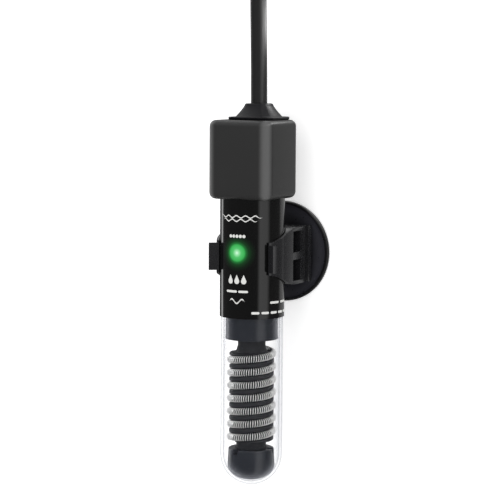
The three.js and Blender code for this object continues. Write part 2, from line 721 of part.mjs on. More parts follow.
addPiece(onAxis, 'core_collar', makeCoreCollar(), darkPlastic());
addPiece(onAxis, 'ceramic_core', makeCeramicCore(), ceramic());
addPiece(onAxis, 'heating_coil', makeHeatingCoil(), heatingWire());
addPiece(onAxis, 'end_bumper', makeBumper(), darkPlastic());

addPiece(onAxis, 'circuit_board', makeCircuitBoard(), finish(0x1f5a3a, 0.5));
addPiece(onAxis, 'indicator_lamp', makeLamp(), finish(0x3fb55a, 0.2));
addPiece(onAxis, 'film_capacitor', makeFilmCapacitor(), finish(0xb08a2a, 0.5));
addPiece(onAxis, 'smoothing_capacitor', makeSmoothingCapacitor(), finish(0x26303c, 0.4));
addPiece(onAxis, 'power_triac', makeTriac(), finish(0x1a1a1a, 0.6));
addPiece(onAxis, 'control_chip', makeControlChip(), finish(0x18181a, 0.6));
addPiece(onAxis, 'dropper_resistor', makeDropperResistor(), finish(0xc9a878, 0.6));
addPiece(onAxis, 'thermal_fuse', makeThermalFuse(), bareMetal());
addPiece(onAxis, 'temperature_sensor', makeTemperatureSensor(), finish(0x202428, 0.4));
addPiece(onAxis, 'live_wire', makeSupplyWire(-1), finish(0x2b2b2b, 0.5));
addPiece(onAxis, 'neutral_wire', makeSupplyWire(1), finish(0xe4e2dc, 0.5));
addPiece(onAxis, 'coil_crimp', makeUpperCrimp(), bareMetal());
addPiece(onAxis, 'coil_lead', makeUpperLead(), finish(0xd8d4c8, 0.6));
addPiece(onAxis, 'return_lead', makeReturnLead(), finish(0xd8d4c8, 0.6));

addPiece(onAxis, 'tube_clip', makeTubeClip(), clipPlastic());
addPiece(onAxis, 'suction_cup', makeSuctionCup(), blackRubber());

addPiece(heater, 'power_cord', makePowerCord(), cordJacket());
addPiece(heater, 'cord_hank', makeCordHank(), cordJacket());
addPiece(heater, 'cord_tail', makeCordTail(), cordJacket());
addPiece(heater, 'cord_tie_right', makeCordTie(1), finish(0x18181a, 0.5));
addPiece(heater, 'cord_tie_left', makeCordTie(-1), finish(0x18181a, 0.5));
addPiece(heater, 'plug_body', makePlugBody(), cordJacket());
addPiece(heater, 'plug_blade_left', makePlugBlade(-1), bareMetal());
addPiece(heater, 'plug_blade_right', makePlugBlade(1), bareMetal());

export default heater;
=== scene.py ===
"""A submersible aquarium heater: glass tube, head cap, wound element, clip, suction cup and mains cord.

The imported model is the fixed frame. Every piece here takes its place from the boxes of its nodes.
Lengths inside the classes are millimetres, in the tube's own frame: x to the right, y from the closed
glass tip towards the cord, and z out of the front, from the tube's axis.
"""
import logging
import math
from collections.abc import Callable, Iterable, Sequence
from dataclasses import dataclass, field
from enum import Enum
from functools import partial

import bmesh
import bpy
from mathutils import Matrix, Quaternion, Vector


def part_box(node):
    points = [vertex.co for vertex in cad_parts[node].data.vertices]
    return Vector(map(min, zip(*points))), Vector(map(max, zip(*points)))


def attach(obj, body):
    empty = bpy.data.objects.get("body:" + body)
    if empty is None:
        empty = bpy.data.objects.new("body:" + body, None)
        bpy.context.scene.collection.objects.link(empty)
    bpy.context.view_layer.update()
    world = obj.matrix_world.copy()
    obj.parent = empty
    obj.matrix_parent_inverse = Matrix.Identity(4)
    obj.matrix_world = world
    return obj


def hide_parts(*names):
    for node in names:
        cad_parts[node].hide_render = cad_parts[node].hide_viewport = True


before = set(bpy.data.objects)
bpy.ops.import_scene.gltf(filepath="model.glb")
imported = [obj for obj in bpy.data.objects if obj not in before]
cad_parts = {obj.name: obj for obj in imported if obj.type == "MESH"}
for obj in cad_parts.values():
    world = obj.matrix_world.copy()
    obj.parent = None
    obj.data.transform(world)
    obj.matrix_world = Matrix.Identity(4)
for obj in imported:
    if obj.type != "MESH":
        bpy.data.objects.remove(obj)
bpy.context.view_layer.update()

MM = 0.001
LOG = logging.getLogger("heater")
COAT_ROUGHNESS = 0.08
CLOSED = 0.001  # a ring this small closes a shape, in millimetres or as a share
Point2 = tuple[float, float]
Ring = list[Vector]
Mesh = tuple[list[Vector], list[list[int]]]
Node, Socket, Tree = bpy.types.Node, bpy.types.NodeSocket, bpy.types.NodeTree
Material, Piece = bpy.types.Material, bpy.types.Object


# ------------------------------------------------------------------ colour and nodes
def srgb(code: str, alpha: float = 1.0) -> tuple[float, float, float, float]:
    """Turns an sRGB hex colour into Blender's linear colour.

    Args:
        code: Six hex digits, with or without a leading #.
        alpha: The fourth channel.

    Returns:
        Linear red, green, blue and alpha.
    """
    digits = code.lstrip("#")
    shares = [int(digits[i:i + 2], 16) / 255 for i in (0, 2, 4)]
    linear = [s / 12.92 if s <= 0.04045 else ((s + 0.055) / 1.055) ** 2.4 for s in shares]
    return (linear[0], linear[1], linear[2], alpha)


def add_node(tree: Tree, kind: str, inputs: dict | None = None, **settings: object) -> Node:
    """Adds one node to a tree.

    Args:
        tree: A shader or geometry node tree.
        kind: The node's type name.
        inputs: Socket name or number to a plain value, or to the output socket that feeds it.
        **settings: The node's own properties.

    Returns:
        The new node.
    """
    node = tree.nodes.new(kind)
    for name, value in settings.items():
        setattr(node, name, value)
    for key, value in (inputs or {}).items():
        if isinstance(value, Socket):
            tree.links.new(value, node.inputs[key])
        else:
            node.inputs[key].default_value = value
    return node


def maths(tree: Tree, operation: str, a: object, b: object = 0.0, **settings: object
          ) -> Socket:
    """Adds a Math node on two numbers or sockets and returns its output."""
    return add_node(tree, "ShaderNodeMath", {0: a, 1: b}, operation=operation, **settings).outputs[0]


def remap(tree: Tree, value: Socket, start: object, end: object, low: object = 0.0,
          high: object = 1.0, curve: str = "SMOOTHSTEP") -> Socket:
    """Adds a Map Range node that takes start..end to low..high and returns its output."""
    ends = {"Value": value, "From Min": start, "From Max": end, "To Min": low, "To Max": high}
    return add_node(tree, "ShaderNodeMapRange", ends, interpolation_type=curve).outputs["Result"]


def mixed(tree: Tree, share: Socket, a: object, b: object) -> Socket:
    """Adds a colour Mix node and returns its output."""
    inputs = {"Factor": share, "A": a, "B": b}
    return add_node(tree, "ShaderNodeMix", inputs, data_type="RGBA").outputs["Result"]


# ------------------------------------------------------------------ finishes
@dataclass(frozen=True)
class Finish:
    """A surface finish, whose colour, gloss and grain vary a little over the piece.

    Attributes:
        name: The material's common name and how its surface was made.
        colour: Its colour as sRGB hex.
        shade: The colour of its darker mottling.
        roughness: Middle roughness.
        rough_spread: How far the roughness wanders either way.
        metallic: 1 for bare metal.
        ior: Index of refraction; left at the shader's default for metals.
        grain: Size of the surface grain in millimetres.
        relief: Height of the grain in millimetres.
        mottle: Size of the colour mottling in millimetres.
        coat: Weight of a clear skin over it.
        specular: The shader's specular level.
    """

    name: str
    colour: str
    shade: str
    roughness: float = 0.5
    rough_spread: float = 0.05
    metallic: float = 0.0
    ior: float = 1.5
    grain: float = 0.4
    relief: float = 0.01
    mottle: float = 9.0
    coat: float = 0.0
    specular: float = 0.5

    def material(self) -> Material:
        """Makes the material once and returns it after that."""
        known = bpy.data.materials.get(self.name)
        if known:
            return known
        material = bpy.data.materials.new(self.name)
        material.use_nodes = True
        tree = material.node_tree
        shader = tree.nodes["Principled BSDF"]
        levels = {"Metallic": self.metallic, "Coat Weight": self.coat, "Coat Roughness": COAT_ROUGHNESS,
                  "Specular IOR Level": self.specular}
        if self.metallic < 1:
            levels["IOR"] = self.ior
        for name, level in levels.items():
            shader.inputs[name].default_value = level
        place = add_node(tree, "ShaderNodeTexCoord").outputs["Object"]
        self.paint(tree, shader, place)
        self.roughen(tree, shader, place)
        material.diffuse_color = srgb(self.colour)
        return material

    @staticmethod
    def noise(tree: Tree, place: Socket, size: float, detail: float
              ) -> Socket:
        """Adds a noise whose spots are about so many millimetres across."""
        return add_node(tree, "ShaderNodeTexNoise", {"Vector": place, "Scale": 1 / (size * MM),
                                                     "Detail": detail}).outputs["Fac"]

    def tint(self, tree: Tree, place: Socket) -> Socket:
        """Mottles the two shades together and returns the colour."""
        return mixed(tree, self.noise(tree, place, self.mottle, 3.0), srgb(self.shade), srgb(self.colour))

    def paint(self, tree: Tree, shader: Node, place: Socket) -> None:
        """Links the base colour.

        Args:
            tree: The material's tree.
            shader: Its Principled shader.
            place: Object coordinates, in metres.
        """
        tree.links.new(self.tint(tree, place), shader.inputs["Base Color"])

    def roughen(self, tree: Tree, shader: Node, place: Socket) -> None:
        """Links roughness and relief, from the same grain."""
        fine = self.noise(tree, place, self.grain, 2.0)
        spread = remap(tree, fine, 0.3, 0.7, max(0.0, self.roughness - self.rough_spread),
                       self.roughness + self.rough_spread, "LINEAR")
        tree.links.new(spread, shader.inputs["Roughness"])
        bump = add_node(tree, "ShaderNodeBump", {"Height": fine, "Strength": 1.0,
                                                 "Distance": self.relief * MM})
        tree.links.new(bump.outputs["Normal"], shader.inputs["Normal"])


@dataclass(frozen=True)
class ClearGlass(Finish):
    """Drawn borosilicate tube: nearly invisible face on, with a grey line where the wall is seen edge on."""

    face_alpha: float = 0.005
    edge_alpha: float = 0.55

    def paint(self, tree: Tree, shader: Node, place: Socket) -> None:
        """Keeps one colour and lets the wall grow denser where it turns away."""
        shader.inputs["Base Color"].default_value = srgb(self.colour)
        turning = add_node(tree, "ShaderNodeLayerWeight", {"Blend": 0.3}).outputs["Facing"]
        density = remap(tree, turning, 0.1, 1.0, self.face_alpha, self.edge_alpha)
        tree.links.new(density, shader.inputs["Alpha"])


@dataclass(frozen=True)
class PrintedFilmPaintedGlow(Finish):
    """Black gloss film printed solid black, with a painted green glow round the lamp: emission on the film
    stands in for the lamp's light shining through it.

    Attributes:
        lamp_y: The lamp's place along Y, in metres.
        glow_radius: How far the painted glow reaches, in millimetres.
        painted_glow_fade: Share of that reach to the painted glow's colour, from its middle outwards.
    """

    lamp_y: float = 0.0
    glow_radius: float = 6.6
    painted_glow_fade: tuple[tuple[float, str], ...] = (
        (0.0, "#d9ffe2"), (0.1, "#9fe8ae"), (0.24, "#55c46d"), (0.42, "#38ad52"), (0.5, "#1d6e30"),
        (0.62, "#0e3a18"), (0.8, "#061a0a"), (1.0, "#000000"))

    def paint(self, tree: Tree, shader: Node, place: Socket) -> None:
        """Paints the black print, and the painted green glow of the lamp, fading out round its place on the
        film's front.
        """
        super().paint(tree, shader, place)
        axes = add_node(tree, "ShaderNodeSeparateXYZ", {"Vector": place}).outputs
        flat = add_node(tree, "ShaderNodeCombineXYZ", {"X": axes["X"], "Y": axes["Y"]})
        reach = add_node(tree, "ShaderNodeVectorMath", {0: flat.outputs[0], 1: (0.0, self.lamp_y, 0.0)},
                         operation="DISTANCE")
        share = maths(tree, "DIVIDE", reach.outputs["Value"], self.glow_radius * MM, use_clamp=True)
        ramp = add_node(tree, "ShaderNodeValToRGB", {"Fac": share})
        stops = ramp.color_ramp.elements
        stops.remove(stops[1])
        stops[0].position, stops[0].color = self.painted_glow_fade[0][0], srgb(self.painted_glow_fade[0][1])
        for position, colour in self.painted_glow_fade[1:]:
            stops.new(position).color = srgb(colour)
        front = maths(tree, "GREATER_THAN", axes["Z"], TUBE.axis_z * MM)
        glow = mixed(tree, front, srgb("#000000"), ramp.outputs["Color"])
        tree.links.new(glow, shader.inputs["Emission Color"])
        shader.inputs["Emission Strength"].default_value = 1.0


@dataclass(frozen=True)
class CornerPaintedHighlight(Finish):
    """Satin moulding with a painted highlight: its upright corners are painted lighter where the light
    catches them.

    Attributes:
        corner_highlight: The painted highlight's colour on the corners, as sRGB hex.
        highlight_start: Distance from the middle, both ways, where the painted highlight starts to show, in
            millimetres.
        highlight_end: Distance where it is full.
    """

    corner_highlight: str = "#585858"
    highlight_start: float = 8.3
    highlight_end: float = 10.6

    def tint(self, tree: Tree, place: Socket) -> Socket:
        """Blends the painted highlight colour in towards the four corners round the tube's axis."""
        axes = add_node(tree, "ShaderNodeSeparateXYZ", {"Vector": place}).outputs
        across = maths(tree, "ABSOLUTE", axes["X"])
        deep = maths(tree, "ABSOLUTE", maths(tree, "SUBTRACT", axes["Z"], TUBE.axis_z * MM))
        share = remap(tree, maths(tree, "MINIMUM", across, deep), self.highlight_start * MM, self.highlight_end * MM)
        return mixed(tree, share, super().tint(tree, place), srgb(self.corner_highlight))


@dataclass(frozen=True)
class AxisShaded(Finish):
    """A piece turned or wound about an axis, whose colour changes with the distance from that axis: painted
    shade near the axis gives way to the finish's colour further out.

    Attributes:
        inner: The painted shade's colour near the axis, as sRGB hex.
        inner_until: Radius where the painted shade starts to give way, in millimetres.
        outer_from: Radius where the finish's own colour is reached.
        rim: Colour beyond the rim radius, or nothing.
        rim_from: Radius where the rim colour is reached.
        rim_blend: Width over which the rim's colour comes in.
        upright: True measures round an upright axis through the cup, otherwise round the tube's axis.
    """

    inner: str = "#1c1c1c"
    inner_until: float = 7.0
    outer_from: float = 7.8
    rim: str | None = None
    rim_from: float = 0.0
    rim_blend: float = 0.5
    upright: bool = False

    def tint(self, tree: Tree, place: Socket) -> Socket:
        """Blends the painted shade near the axis, and the rim colour, in by the distance from the axis."""
        axes = add_node(tree, "ShaderNodeSeparateXYZ", {"Vector": place}).outputs
        second, middle = ("Y", (0.0, box_mm("suction_cup")[0].y * MM, 0.0)) if self.upright else \
            ("Z", (0.0, 0.0, TUBE.axis_z * MM))
        across = add_node(tree, "ShaderNodeCombineXYZ", {name: axes[name] for name in ("X", second)})
        radius = add_node(tree, "ShaderNodeVectorMath", {0: across.outputs[0], 1: middle},
                          operation="DISTANCE").outputs["Value"]
        share = remap(tree, radius, self.inner_until * MM, self.outer_from * MM)
        colour = mixed(tree, share, srgb(self.inner), super().tint(tree, place))
        if self.rim:
            share = remap(tree, radius, (self.rim_from - self.rim_blend) * MM, self.rim_from * MM)
            colour = mixed(tree, share, colour, srgb(self.rim))
        return colour


@dataclass(frozen=True)
class LitLens(Finish):
    """Moulded epoxy lens, lit from inside.

    Attributes:
        light: The light's colour as sRGB hex.
        strength: Its emission strength.
    """

    light: str = "#7fe895"
    strength: float = 2.0

    def paint(self, tree: Tree, shader: Node, place: Socket) -> None:
        """Adds the lamp's own light to the lens colour."""
        super().paint(tree, shader, place)
        shader.inputs["Emission Color"].default_value = srgb(self.light)
        shader.inputs["Emission Strength"].default_value = self.strength


# ------------------------------------------------------------------ the tube's frame
def station(node: str) -> tuple[float, float]:
    """Returns where a node starts and ends along the tube, in millimetres from the glass tip."""
    low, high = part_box(node)
    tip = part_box("glass_tube")[0].y
    return ((low.y - tip) / MM, (high.y - tip) / MM)


def box_mm(node: str) -> tuple[Vector, Vector]:
    """Returns the middle and the half sizes of a node's box in the part's frame, in millimetres."""
    low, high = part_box(node)
    return (low + high) / 2 / MM, (high - low) / 2 / MM


@dataclass(frozen=True)
class TubeFrame:
    """Where the tube's axis and tip are in the part's frame, in millimetres."""

    axis_z: float
    tip_y: float

    def place(self, x: float, y: float, z: float) -> Vector:
        """Turns a point of the tube's frame into the part's frame, in metres."""
        return Vector((x, y + self.tip_y, z + self.axis_z)) * MM

    def around(self, radius: float, y: float, angle: float) -> Vector:
        """A point at an angle in degrees from the front, turning towards +X."""
        turn = math.radians(angle)
        return self.place(radius * math.sin(turn), y, radius * math.cos(turn))


def read_tube_frame() -> TubeFrame:
    """Reads the tube's frame from the glass node's box."""
    low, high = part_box("glass_tube")
    return TubeFrame(axis_z=(low.z + high.z) / 2 / MM, tip_y=low.y / MM)


TUBE = read_tube_frame()


# ------------------------------------------------------------------ meshes
def linked(name: str, data: bpy.types.ID) -> Piece:
    """Makes an object of some data and links it to the scene."""
    made = bpy.data.objects.new(name, data)
    bpy.context.scene.collection.objects.link(made)
    return made


def smoothed(name: str, mesh: bpy.types.Mesh, crease: float) -> Piece:
    """Makes a piece of a mesh, smooth except at edges sharper than crease, in degrees."""
    mesh.name = name
    mesh.polygons.foreach_set("use_smooth", [True] * len(mesh.polygons))
    mesh.set_sharp_from_angle(angle=math.radians(crease))
    return linked(name, mesh)


def settled(source: Piece, name: str, crease: float) -> Piece:
    """Replaces an object by a piece without modifiers, made from what its modifiers give."""
    mesh = bpy.data.meshes.new_from_object(source.evaluated_get(bpy.context.evaluated_depsgraph_get()))
    rough = source.data
    bpy.data.objects.remove(source)
    bpy.data.meshes.remove(rough)
    return smoothed(name, mesh, crease)


def new_piece(name: str, vertices: Sequence[Vector], faces: Iterable[Sequence[int]], crease: float = 40.0
              ) -> Piece:
    """Makes a piece from vertices in the part's frame, with outward normals.

    Args:
        name: The piece's name.
        vertices: Points in metres.
        faces: Corner numbers.
        crease: Edges sharper than this many degrees stay sharp.

    Returns:
        The linked object.
    """
    mesh = bpy.data.meshes.new(name)
    mesh.from_pydata([tuple(v) for v in vertices], [], [list(f) for f in faces])
    work = bmesh.new()
    work.from_mesh(mesh)
    bmesh.ops.remove_doubles(work, verts=work.verts, dist=1e-7)
    bmesh.ops.recalc_face_normals(work, faces=work.faces)
    work.to_mesh(mesh)
    work.free()
    return smoothed(name, mesh, crease)


def loft(rings: Sequence[Ring], closed: bool = False) -> Mesh:
    """Joins rings of equal size with quads.

    Args:
        rings: Rings in order; a ring whose points coincide makes a pole.
        closed: True joins the last ring to the first, otherwise both ends get a cap.

    Returns:
        Vertices and faces.
    """
    count = len(rings[0])
    vertices = [p for ring in rings for p in ring]
    faces = []
    last = len(rings) if closed else len(rings) - 1
    for r in range(last):
        a, b = r * count, ((r + 1) % len(rings)) * count
        faces += [[a + i, a + (i + 1) % count, b + (i + 1) % count, b + i] for i in range(count)]
    if not closed:
        faces.append(list(range(count))[::-1])
        faces.append([(len(rings) - 1) * count + i for i in range(count)])
    return vertices, faces


def joined(shapes: Iterable[Mesh]) -> Mesh:
    """Puts several lots of vertices and faces into one."""
    vertices: list[Vector] = []
    faces: list[list[int]] = []
    for points, corners in shapes:
        faces += [[len(vertices) + i for i in face] for face in corners]
        vertices += points
    return vertices, faces


def lofted(name: str, rings: Sequence[Ring], crease: float = 40.0, closed: bool = False) -> Piece:
    """Makes a piece from rings, joined as loft() joins them."""
    return new_piece(name, *loft(rings, closed), crease)


def circle(count: int, whole: float = 2 * math.pi) -> list[float]:
    """Evenly spaced angles round a full turn, in radians unless the whole turn is given in another unit."""
    return [whole * i / count for i in range(count)]


def fillet(profile: Sequence[Point2], radius: float, steps: int = 4) -> list[Point2]:
    """Rounds the inner corners of a profile.

    Args:
        profile: Points in order; the first and last stay as they are.
        radius: Fillet radius, limited to just under half of each side.
        steps: Points along each fillet, less one.

    Returns:
        The rounded profile.
    """
    rounded = [profile[0]]
    for before, corner, after in zip(profile, profile[1:], profile[2:]):
        p, a, b = Vector(corner), Vector(before) - Vector(corner), Vector(after) - Vector(corner)
        if min(a.length, b.length) < 1e-6:
            continue
        opening = a.angle(b)
        if opening > math.radians(165):
            rounded.append(corner)
            continue
        trim = min(radius / math.tan(opening / 2), 0.45 * a.length, 0.45 * b.length)
        start, end = p + a.normalized() * trim, p + b.normalized() * trim
        for i in range(steps + 1):
            t = i / steps
            point = start * (1 - t) ** 2 + p * 2 * t * (1 - t) + end * t ** 2
            rounded.append((point.x, point.y))
    return [*rounded, profile[-1]]


def arc(centre: Point2, radius: Point2, start: float, end: float, steps: int) -> list[Point2]:
    """Points on an ellipse's arc; angles in degrees from the first axis towards the second."""
    turns = [math.radians(start + (end - start) * i / steps) for i in range(steps + 1)]
    return [(centre[0] + radius[0] * math.cos(t), centre[1] + radius[1] * math.sin(t)) for t in turns]


def turned(name: str, profile: Sequence[Point2], segments: int = 96, centre: Point2 = (0.0, 0.0),
           closed: bool = False, crease: float = 40.0) -> Piece:
    """Turns a profile of (radius, y) about a line parallel to the tube's axis.

    Args:
        name: The piece's name.
        profile: Radius and y in millimetres.
        segments: Facets round the axis.
        centre: x and z of the line.
        closed: True where the profile runs back to its start, as a ring's does.
        crease: Edges sharper than this many degrees stay sharp.

    Returns:
        The piece.
    """
    x, z = centre
    rings = [[TUBE.place(x + r * math.sin(a), y, z + r * math.cos(a)) for a in circle(segments)]
             for r, y in profile]
    return lofted(name, rings, crease, closed)


def rounded_oblong(half_x: float, half_z: float, corner: float, steps: int) -> list[Point2]:
    """The outline of an oblong with round corners, as (x, z) from its middle."""
    x, z = half_x - corner, half_z - corner
    corners = ((x, z, 0), (-x, z, 90), (-x, -z, 180), (x, -z, 270))
    return [p for cx, cz, start in corners for p in arc((cx, cz), (corner, corner), start, start + 90, steps)]


def rounded_square(half: float, corner: float, steps: int) -> list[Point2]:
    """The outline of a square with round corners, as (x, z) from its middle."""
    return rounded_oblong(half, half, corner, steps)


def finish_piece(piece: Piece, finish: Finish, slot: str | None, body: str,
                 *nodes: str) -> Piece:
    """Dresses a piece and ties it to the frame.

    Args:
        piece: The finished mesh.
        finish: Its finish.
        slot: The record's material slot, if it has one for this piece; not used.
        body: The body that it rides on.
        *nodes: Nodes of the frame that it stands for.

    Returns:
        The same piece.
    """
    if not piece.data.materials:
        piece.data.materials.append(finish.material())
    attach(piece, body)
    if nodes:
        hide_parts(*nodes)
    LOG.info("%s: %d faces, %s", piece.name, len(getattr(piece.data, "polygons", [])), finish.name)
    return piece


def dress_node(node: str, finish: Finish) -> None:
    """Gives a node of the frame that stays visible its finish."""
    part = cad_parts[node]
    part.data.materials.clear()
    part.data.materials.append(finish.material())
    LOG.info("%s: kept, %s", node, finish.name)


def smooth_route(points: Sequence[Sequence[float]], step: float = 1.5) -> list[Vector]:
    """A Catmull-Rom line through given points.

    Args:
        points: Points in one unit.
        step: Longest distance between the points returned, in the same unit.

    Returns:
        Closely spaced points from the first to the last.
    """
    knots = [Vector(p) for p in points]
    knots = [2 * knots[0] - knots[1], *knots, 2 * knots[-1] - knots[-2]]
    line = [knots[1]]
    for a, b, c, d in zip(knots, knots[1:], knots[2:], knots[3:]):
        count = max(1, math.ceil((c - b).length / step))
        for i in range(1, count + 1):
            t = i / count
            line.append(0.5 * (2 * b + (c - a) * t + (2 * a - 5 * b + 4 * c - d) * t ** 2
                               + (3 * b - a - 3 * c + d) * t ** 3))
    return line


def softened(node: str, name: str, width: float, crease: float = 30.0) -> Piece:
    """Copies a node's shape with its edges rounded, as a mould leaves them.

    Args:
        node: The frame's node.
        name: The new piece's name.
        width: Rounding in millimetres.
        crease: Edges sharper than this many degrees are rounded.

    Returns:
        The new piece.
    """
    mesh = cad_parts[node].data.copy()
    mesh.materials.clear()
    work = bmesh.new()
    work.from_mesh(mesh)
    bmesh.ops.remove_doubles(work, verts=work.verts, dist=2e-6)
    bmesh.ops.dissolve_limit(work, angle_limit=math.radians(1.5), verts=work.verts, edges=work.edges)
    work.to_mesh(mesh)
    work.free()
    rough = linked(name + "_rough", mesh)
    bevel = rough.modifiers.new("edges", "BEVEL")
    bevel.width = width * MM
    bevel.segments = 3
    bevel.limit_method = "ANGLE"
    bevel.angle_limit = math.radians(crease)
    bevel.miter_outer = "MITER_ARC"
    bevel.use_clamp_overlap = True
    return settled(rough, name, crease)


def grown(name: str, tree: Tree, values: dict[str, object], crease: float = 40.0) -> Piece:
    """Runs a geometry node tree and keeps its result as a plain mesh.

    Args:
        name: The new piece's name.
        tree: The tree, with named inputs and one geometry output.
        values: Input name to value.
        crease: Edges sharper than this many degrees stay sharp.

    Returns:
        A piece without modifiers.
    """
    seed = linked(name + "_seed", bpy.data.meshes.new(name + "_seed"))
    modifier = seed.modifiers.new("grow", "NODES")
    modifier.node_group = tree
    sockets = {s.name: s.identifier for s in tree.interface.items_tree if s.in_out == "INPUT"}
    for key, value in values.items():
        modifier[sockets[key]] = value
    return settled(seed, name, crease)


def new_tree(name: str, inputs: Sequence[tuple[str, str]]) -> tuple[Tree, Node]:
    """Starts a geometry node tree.

    Args:
        name: The tree's name.
        inputs: Pairs of input name and socket type.

    Returns:
        The tree and its input node.
    """
    tree = bpy.data.node_groups.new(name, "GeometryNodeTree")
    for title, kind in inputs:
        tree.interface.new_socket(title, in_out="INPUT", socket_type=kind)
    tree.interface.new_socket("Geometry", in_out="OUTPUT", socket_type="NodeSocketGeometry")
    return tree, add_node(tree, "NodeGroupInput")


def close_tree(tree: Tree, shape: Socket, finish: Socket) -> None:
    """Ends a tree in Realize Instances and Set Material.

    Args:
        tree: The tree.
        shape: The geometry made so far.
        finish: The material input.
    """
    real = add_node(tree, "GeometryNodeRealizeInstances", {"Geometry": shape})
    dressed = add_node(tree, "GeometryNodeSetMaterial", {"Geometry": real.outputs[0], "Material": finish})
    add_node(tree, "NodeGroupOutput", {0: dressed.outputs[0]})


# ------------------------------------------------------------------ the finishes of this heater
# Drawn glass tube: only its edges and a faint cold tint show it.
BOROSILICATE = ClearGlass("borosilicate_drawn", "#d2d5e0", "#d2d5e0", roughness=0.03, rough_spread=0.01,
                          ior=1.47, relief=0.0, grain=3.0)
# Injection-moulded ABS with a fine spark-eroded grain: even dark grey, satin, with a painted highlight
# lightening its corners.
SATIN_ABS = CornerPaintedHighlight("abs_satin_moulded", "#2c2c2c", "#292929", roughness=0.36, rough_spread=0.03,
                          grain=0.35, relief=0.0012, mottle=14.0, specular=0.22)
# Soft PVC rubber pressed in a polished mould: near black with a broad sheen.
GLAND_RUBBER = Finish("rubber_moulded_gland", "#141417", "#101013", roughness=0.34, rough_spread=0.03,
                      grain=0.6, relief=0.001, mottle=9.0, specular=0.15)
# The same rubber in a mirror-finished mould, coloured by the distance from its middle: painted shade darkens
# the middle, a painted grey sheen lightens the skirt, and the rim is black.
CUP_RUBBER = AxisShaded("pvc_rubber_polished_cup", "#323238", "#2d2d33", roughness=0.3, rough_spread=0.03,
                        grain=1.6, relief=0.002, mottle=9.0, inner="#18181b", inner_until=10.0,
                        outer_from=16.0, rim="#08080a", rim_from=17.3, upright=True)
# Soft silicone seal: dull and dark, it only closes the view into the cap.
SEAL_RUBBER = Finish("rubber_soft_seal", "#2a2c2e", "#222426", roughness=0.6, mottle=3.0, relief=0.002)
# Moulded nylon: tougher and glossier than the cap, with a faint orange peel.
CLIP_NYLON = Finish("nylon_gloss_moulded", "#202022", "#1b1b1d", roughness=0.26, rough_spread=0.02,
                    grain=1.8, relief=0.001, mottle=8.0, specular=0.6)
# Heat-proof phenolic, slightly blue-grey, moulded smooth.
FORMER_PHENOLIC = Finish("phenolic_moulded", "#20232a", "#1b1e25", roughness=0.3, rough_spread=0.02,
                         grain=0.7, relief=0.0005, mottle=14.0)
# Unglazed steatite fired dark: matt and finely gritty.
CORE_STEATITE = Finish("steatite_fired_dark", "#242528", "#1c1d20", roughness=0.6, grain=0.25, relief=0.004,
                       mottle=2.5, specular=0.3)
# Drawn nickel-chrome wire: bright, with painted shade darkening the side of each wrap turned towards the
# former, where the groove shades it.
NICHROME = AxisShaded("nichrome_drawn_wire", "#ffffff", "#e2e2e0", roughness=0.3, rough_spread=0.06,
                      metallic=0.35, grain=0.3, relief=0.0005, mottle=2.2, inner="#1c1c1c", inner_until=7.0,
                      outer_from=7.8)
# Tinned copper: small bright silver leads. Rolled brass: warm, brushed along the blades.
TINNED = Finish("copper_tinned", "#d8d6cf", "#b9b6ad", roughness=0.25, metallic=1.0, mottle=1.5,
                relief=0.001)
BLADE_BRASS = Finish("brass_rolled", "#e2cd8a", "#cdb674", roughness=0.24, metallic=1.0, mottle=4.0,
                     relief=0.0005)
# Extruded PVC sheath: dull, with its draw lines blurred into a fine grain.
CORD_PVC = Finish("pvc_extruded_sheath", "#1e1e1e", "#1a1a1a", roughness=0.36, rough_spread=0.04, grain=0.5,
                  relief=0.002, mottle=12.0)
# Moulded PVC of the plug: a shade lighter and duller than the cord.
PLUG_PVC = Finish("pvc_moulded_plug", "#232324", "#1c1c1d", roughness=0.46, grain=0.45, relief=0.004,
                  mottle=8.0)
# Plastic-coated wire tie: dark, slightly waxy.
TIE_PLASTIC = Finish("polyethylene_coated_tie", "#1b1b1c", "#141415", roughness=0.4, mottle=4.0,
                     relief=0.002)
# Screen-printed ink: warm white, matt against the film's gloss.
WHITE_INK = Finish("ink_screen_printed", "#dededb", "#cfcfcc", roughness=0.45, grain=0.2, relief=0.001,
                   mottle=1.2)
# Lacquered circuit board, and the coatings of the parts on it, each in its usual colour.
BOARD_LAMINATE = Finish("glass_epoxy_lacquered", "#1f6a43", "#174f33", roughness=0.3, mottle=2.0, coat=0.3,
                        relief=0.002)
AMBER_EPOXY = Finish("epoxy_dipped_amber", "#b9822a", "#9c6a1e", roughness=0.25, mottle=3.0, relief=0.002)
BLUE_SLEEVE = Finish("pvc_shrunk_sleeve", "#27324a", "#1e2738", roughness=0.3, mottle=4.0, relief=0.001)
BLACK_EPOXY = Finish("epoxy_moulded_case", "#1b1b1c", "#151516", roughness=0.55, mottle=2.0, relief=0.002)
TAN_LACQUER = Finish("lacquer_fired_tan", "#c9a878", "#b8935f", roughness=0.4, mottle=1.5, relief=0.001)
# Silicone-covered wire and glass-fibre sleeving: soft black and woven off-white.
DARK_INSULATION = Finish("silicone_insulation_black", "#262626", "#1e1e1e", roughness=0.5, mottle=3.0,
                         relief=0.001)
PALE_INSULATION = Finish("glass_fibre_sleeving", "#dedbd0", "#cbc7ba", roughness=0.7, grain=0.3,
                         relief=0.01, mottle=1.0)


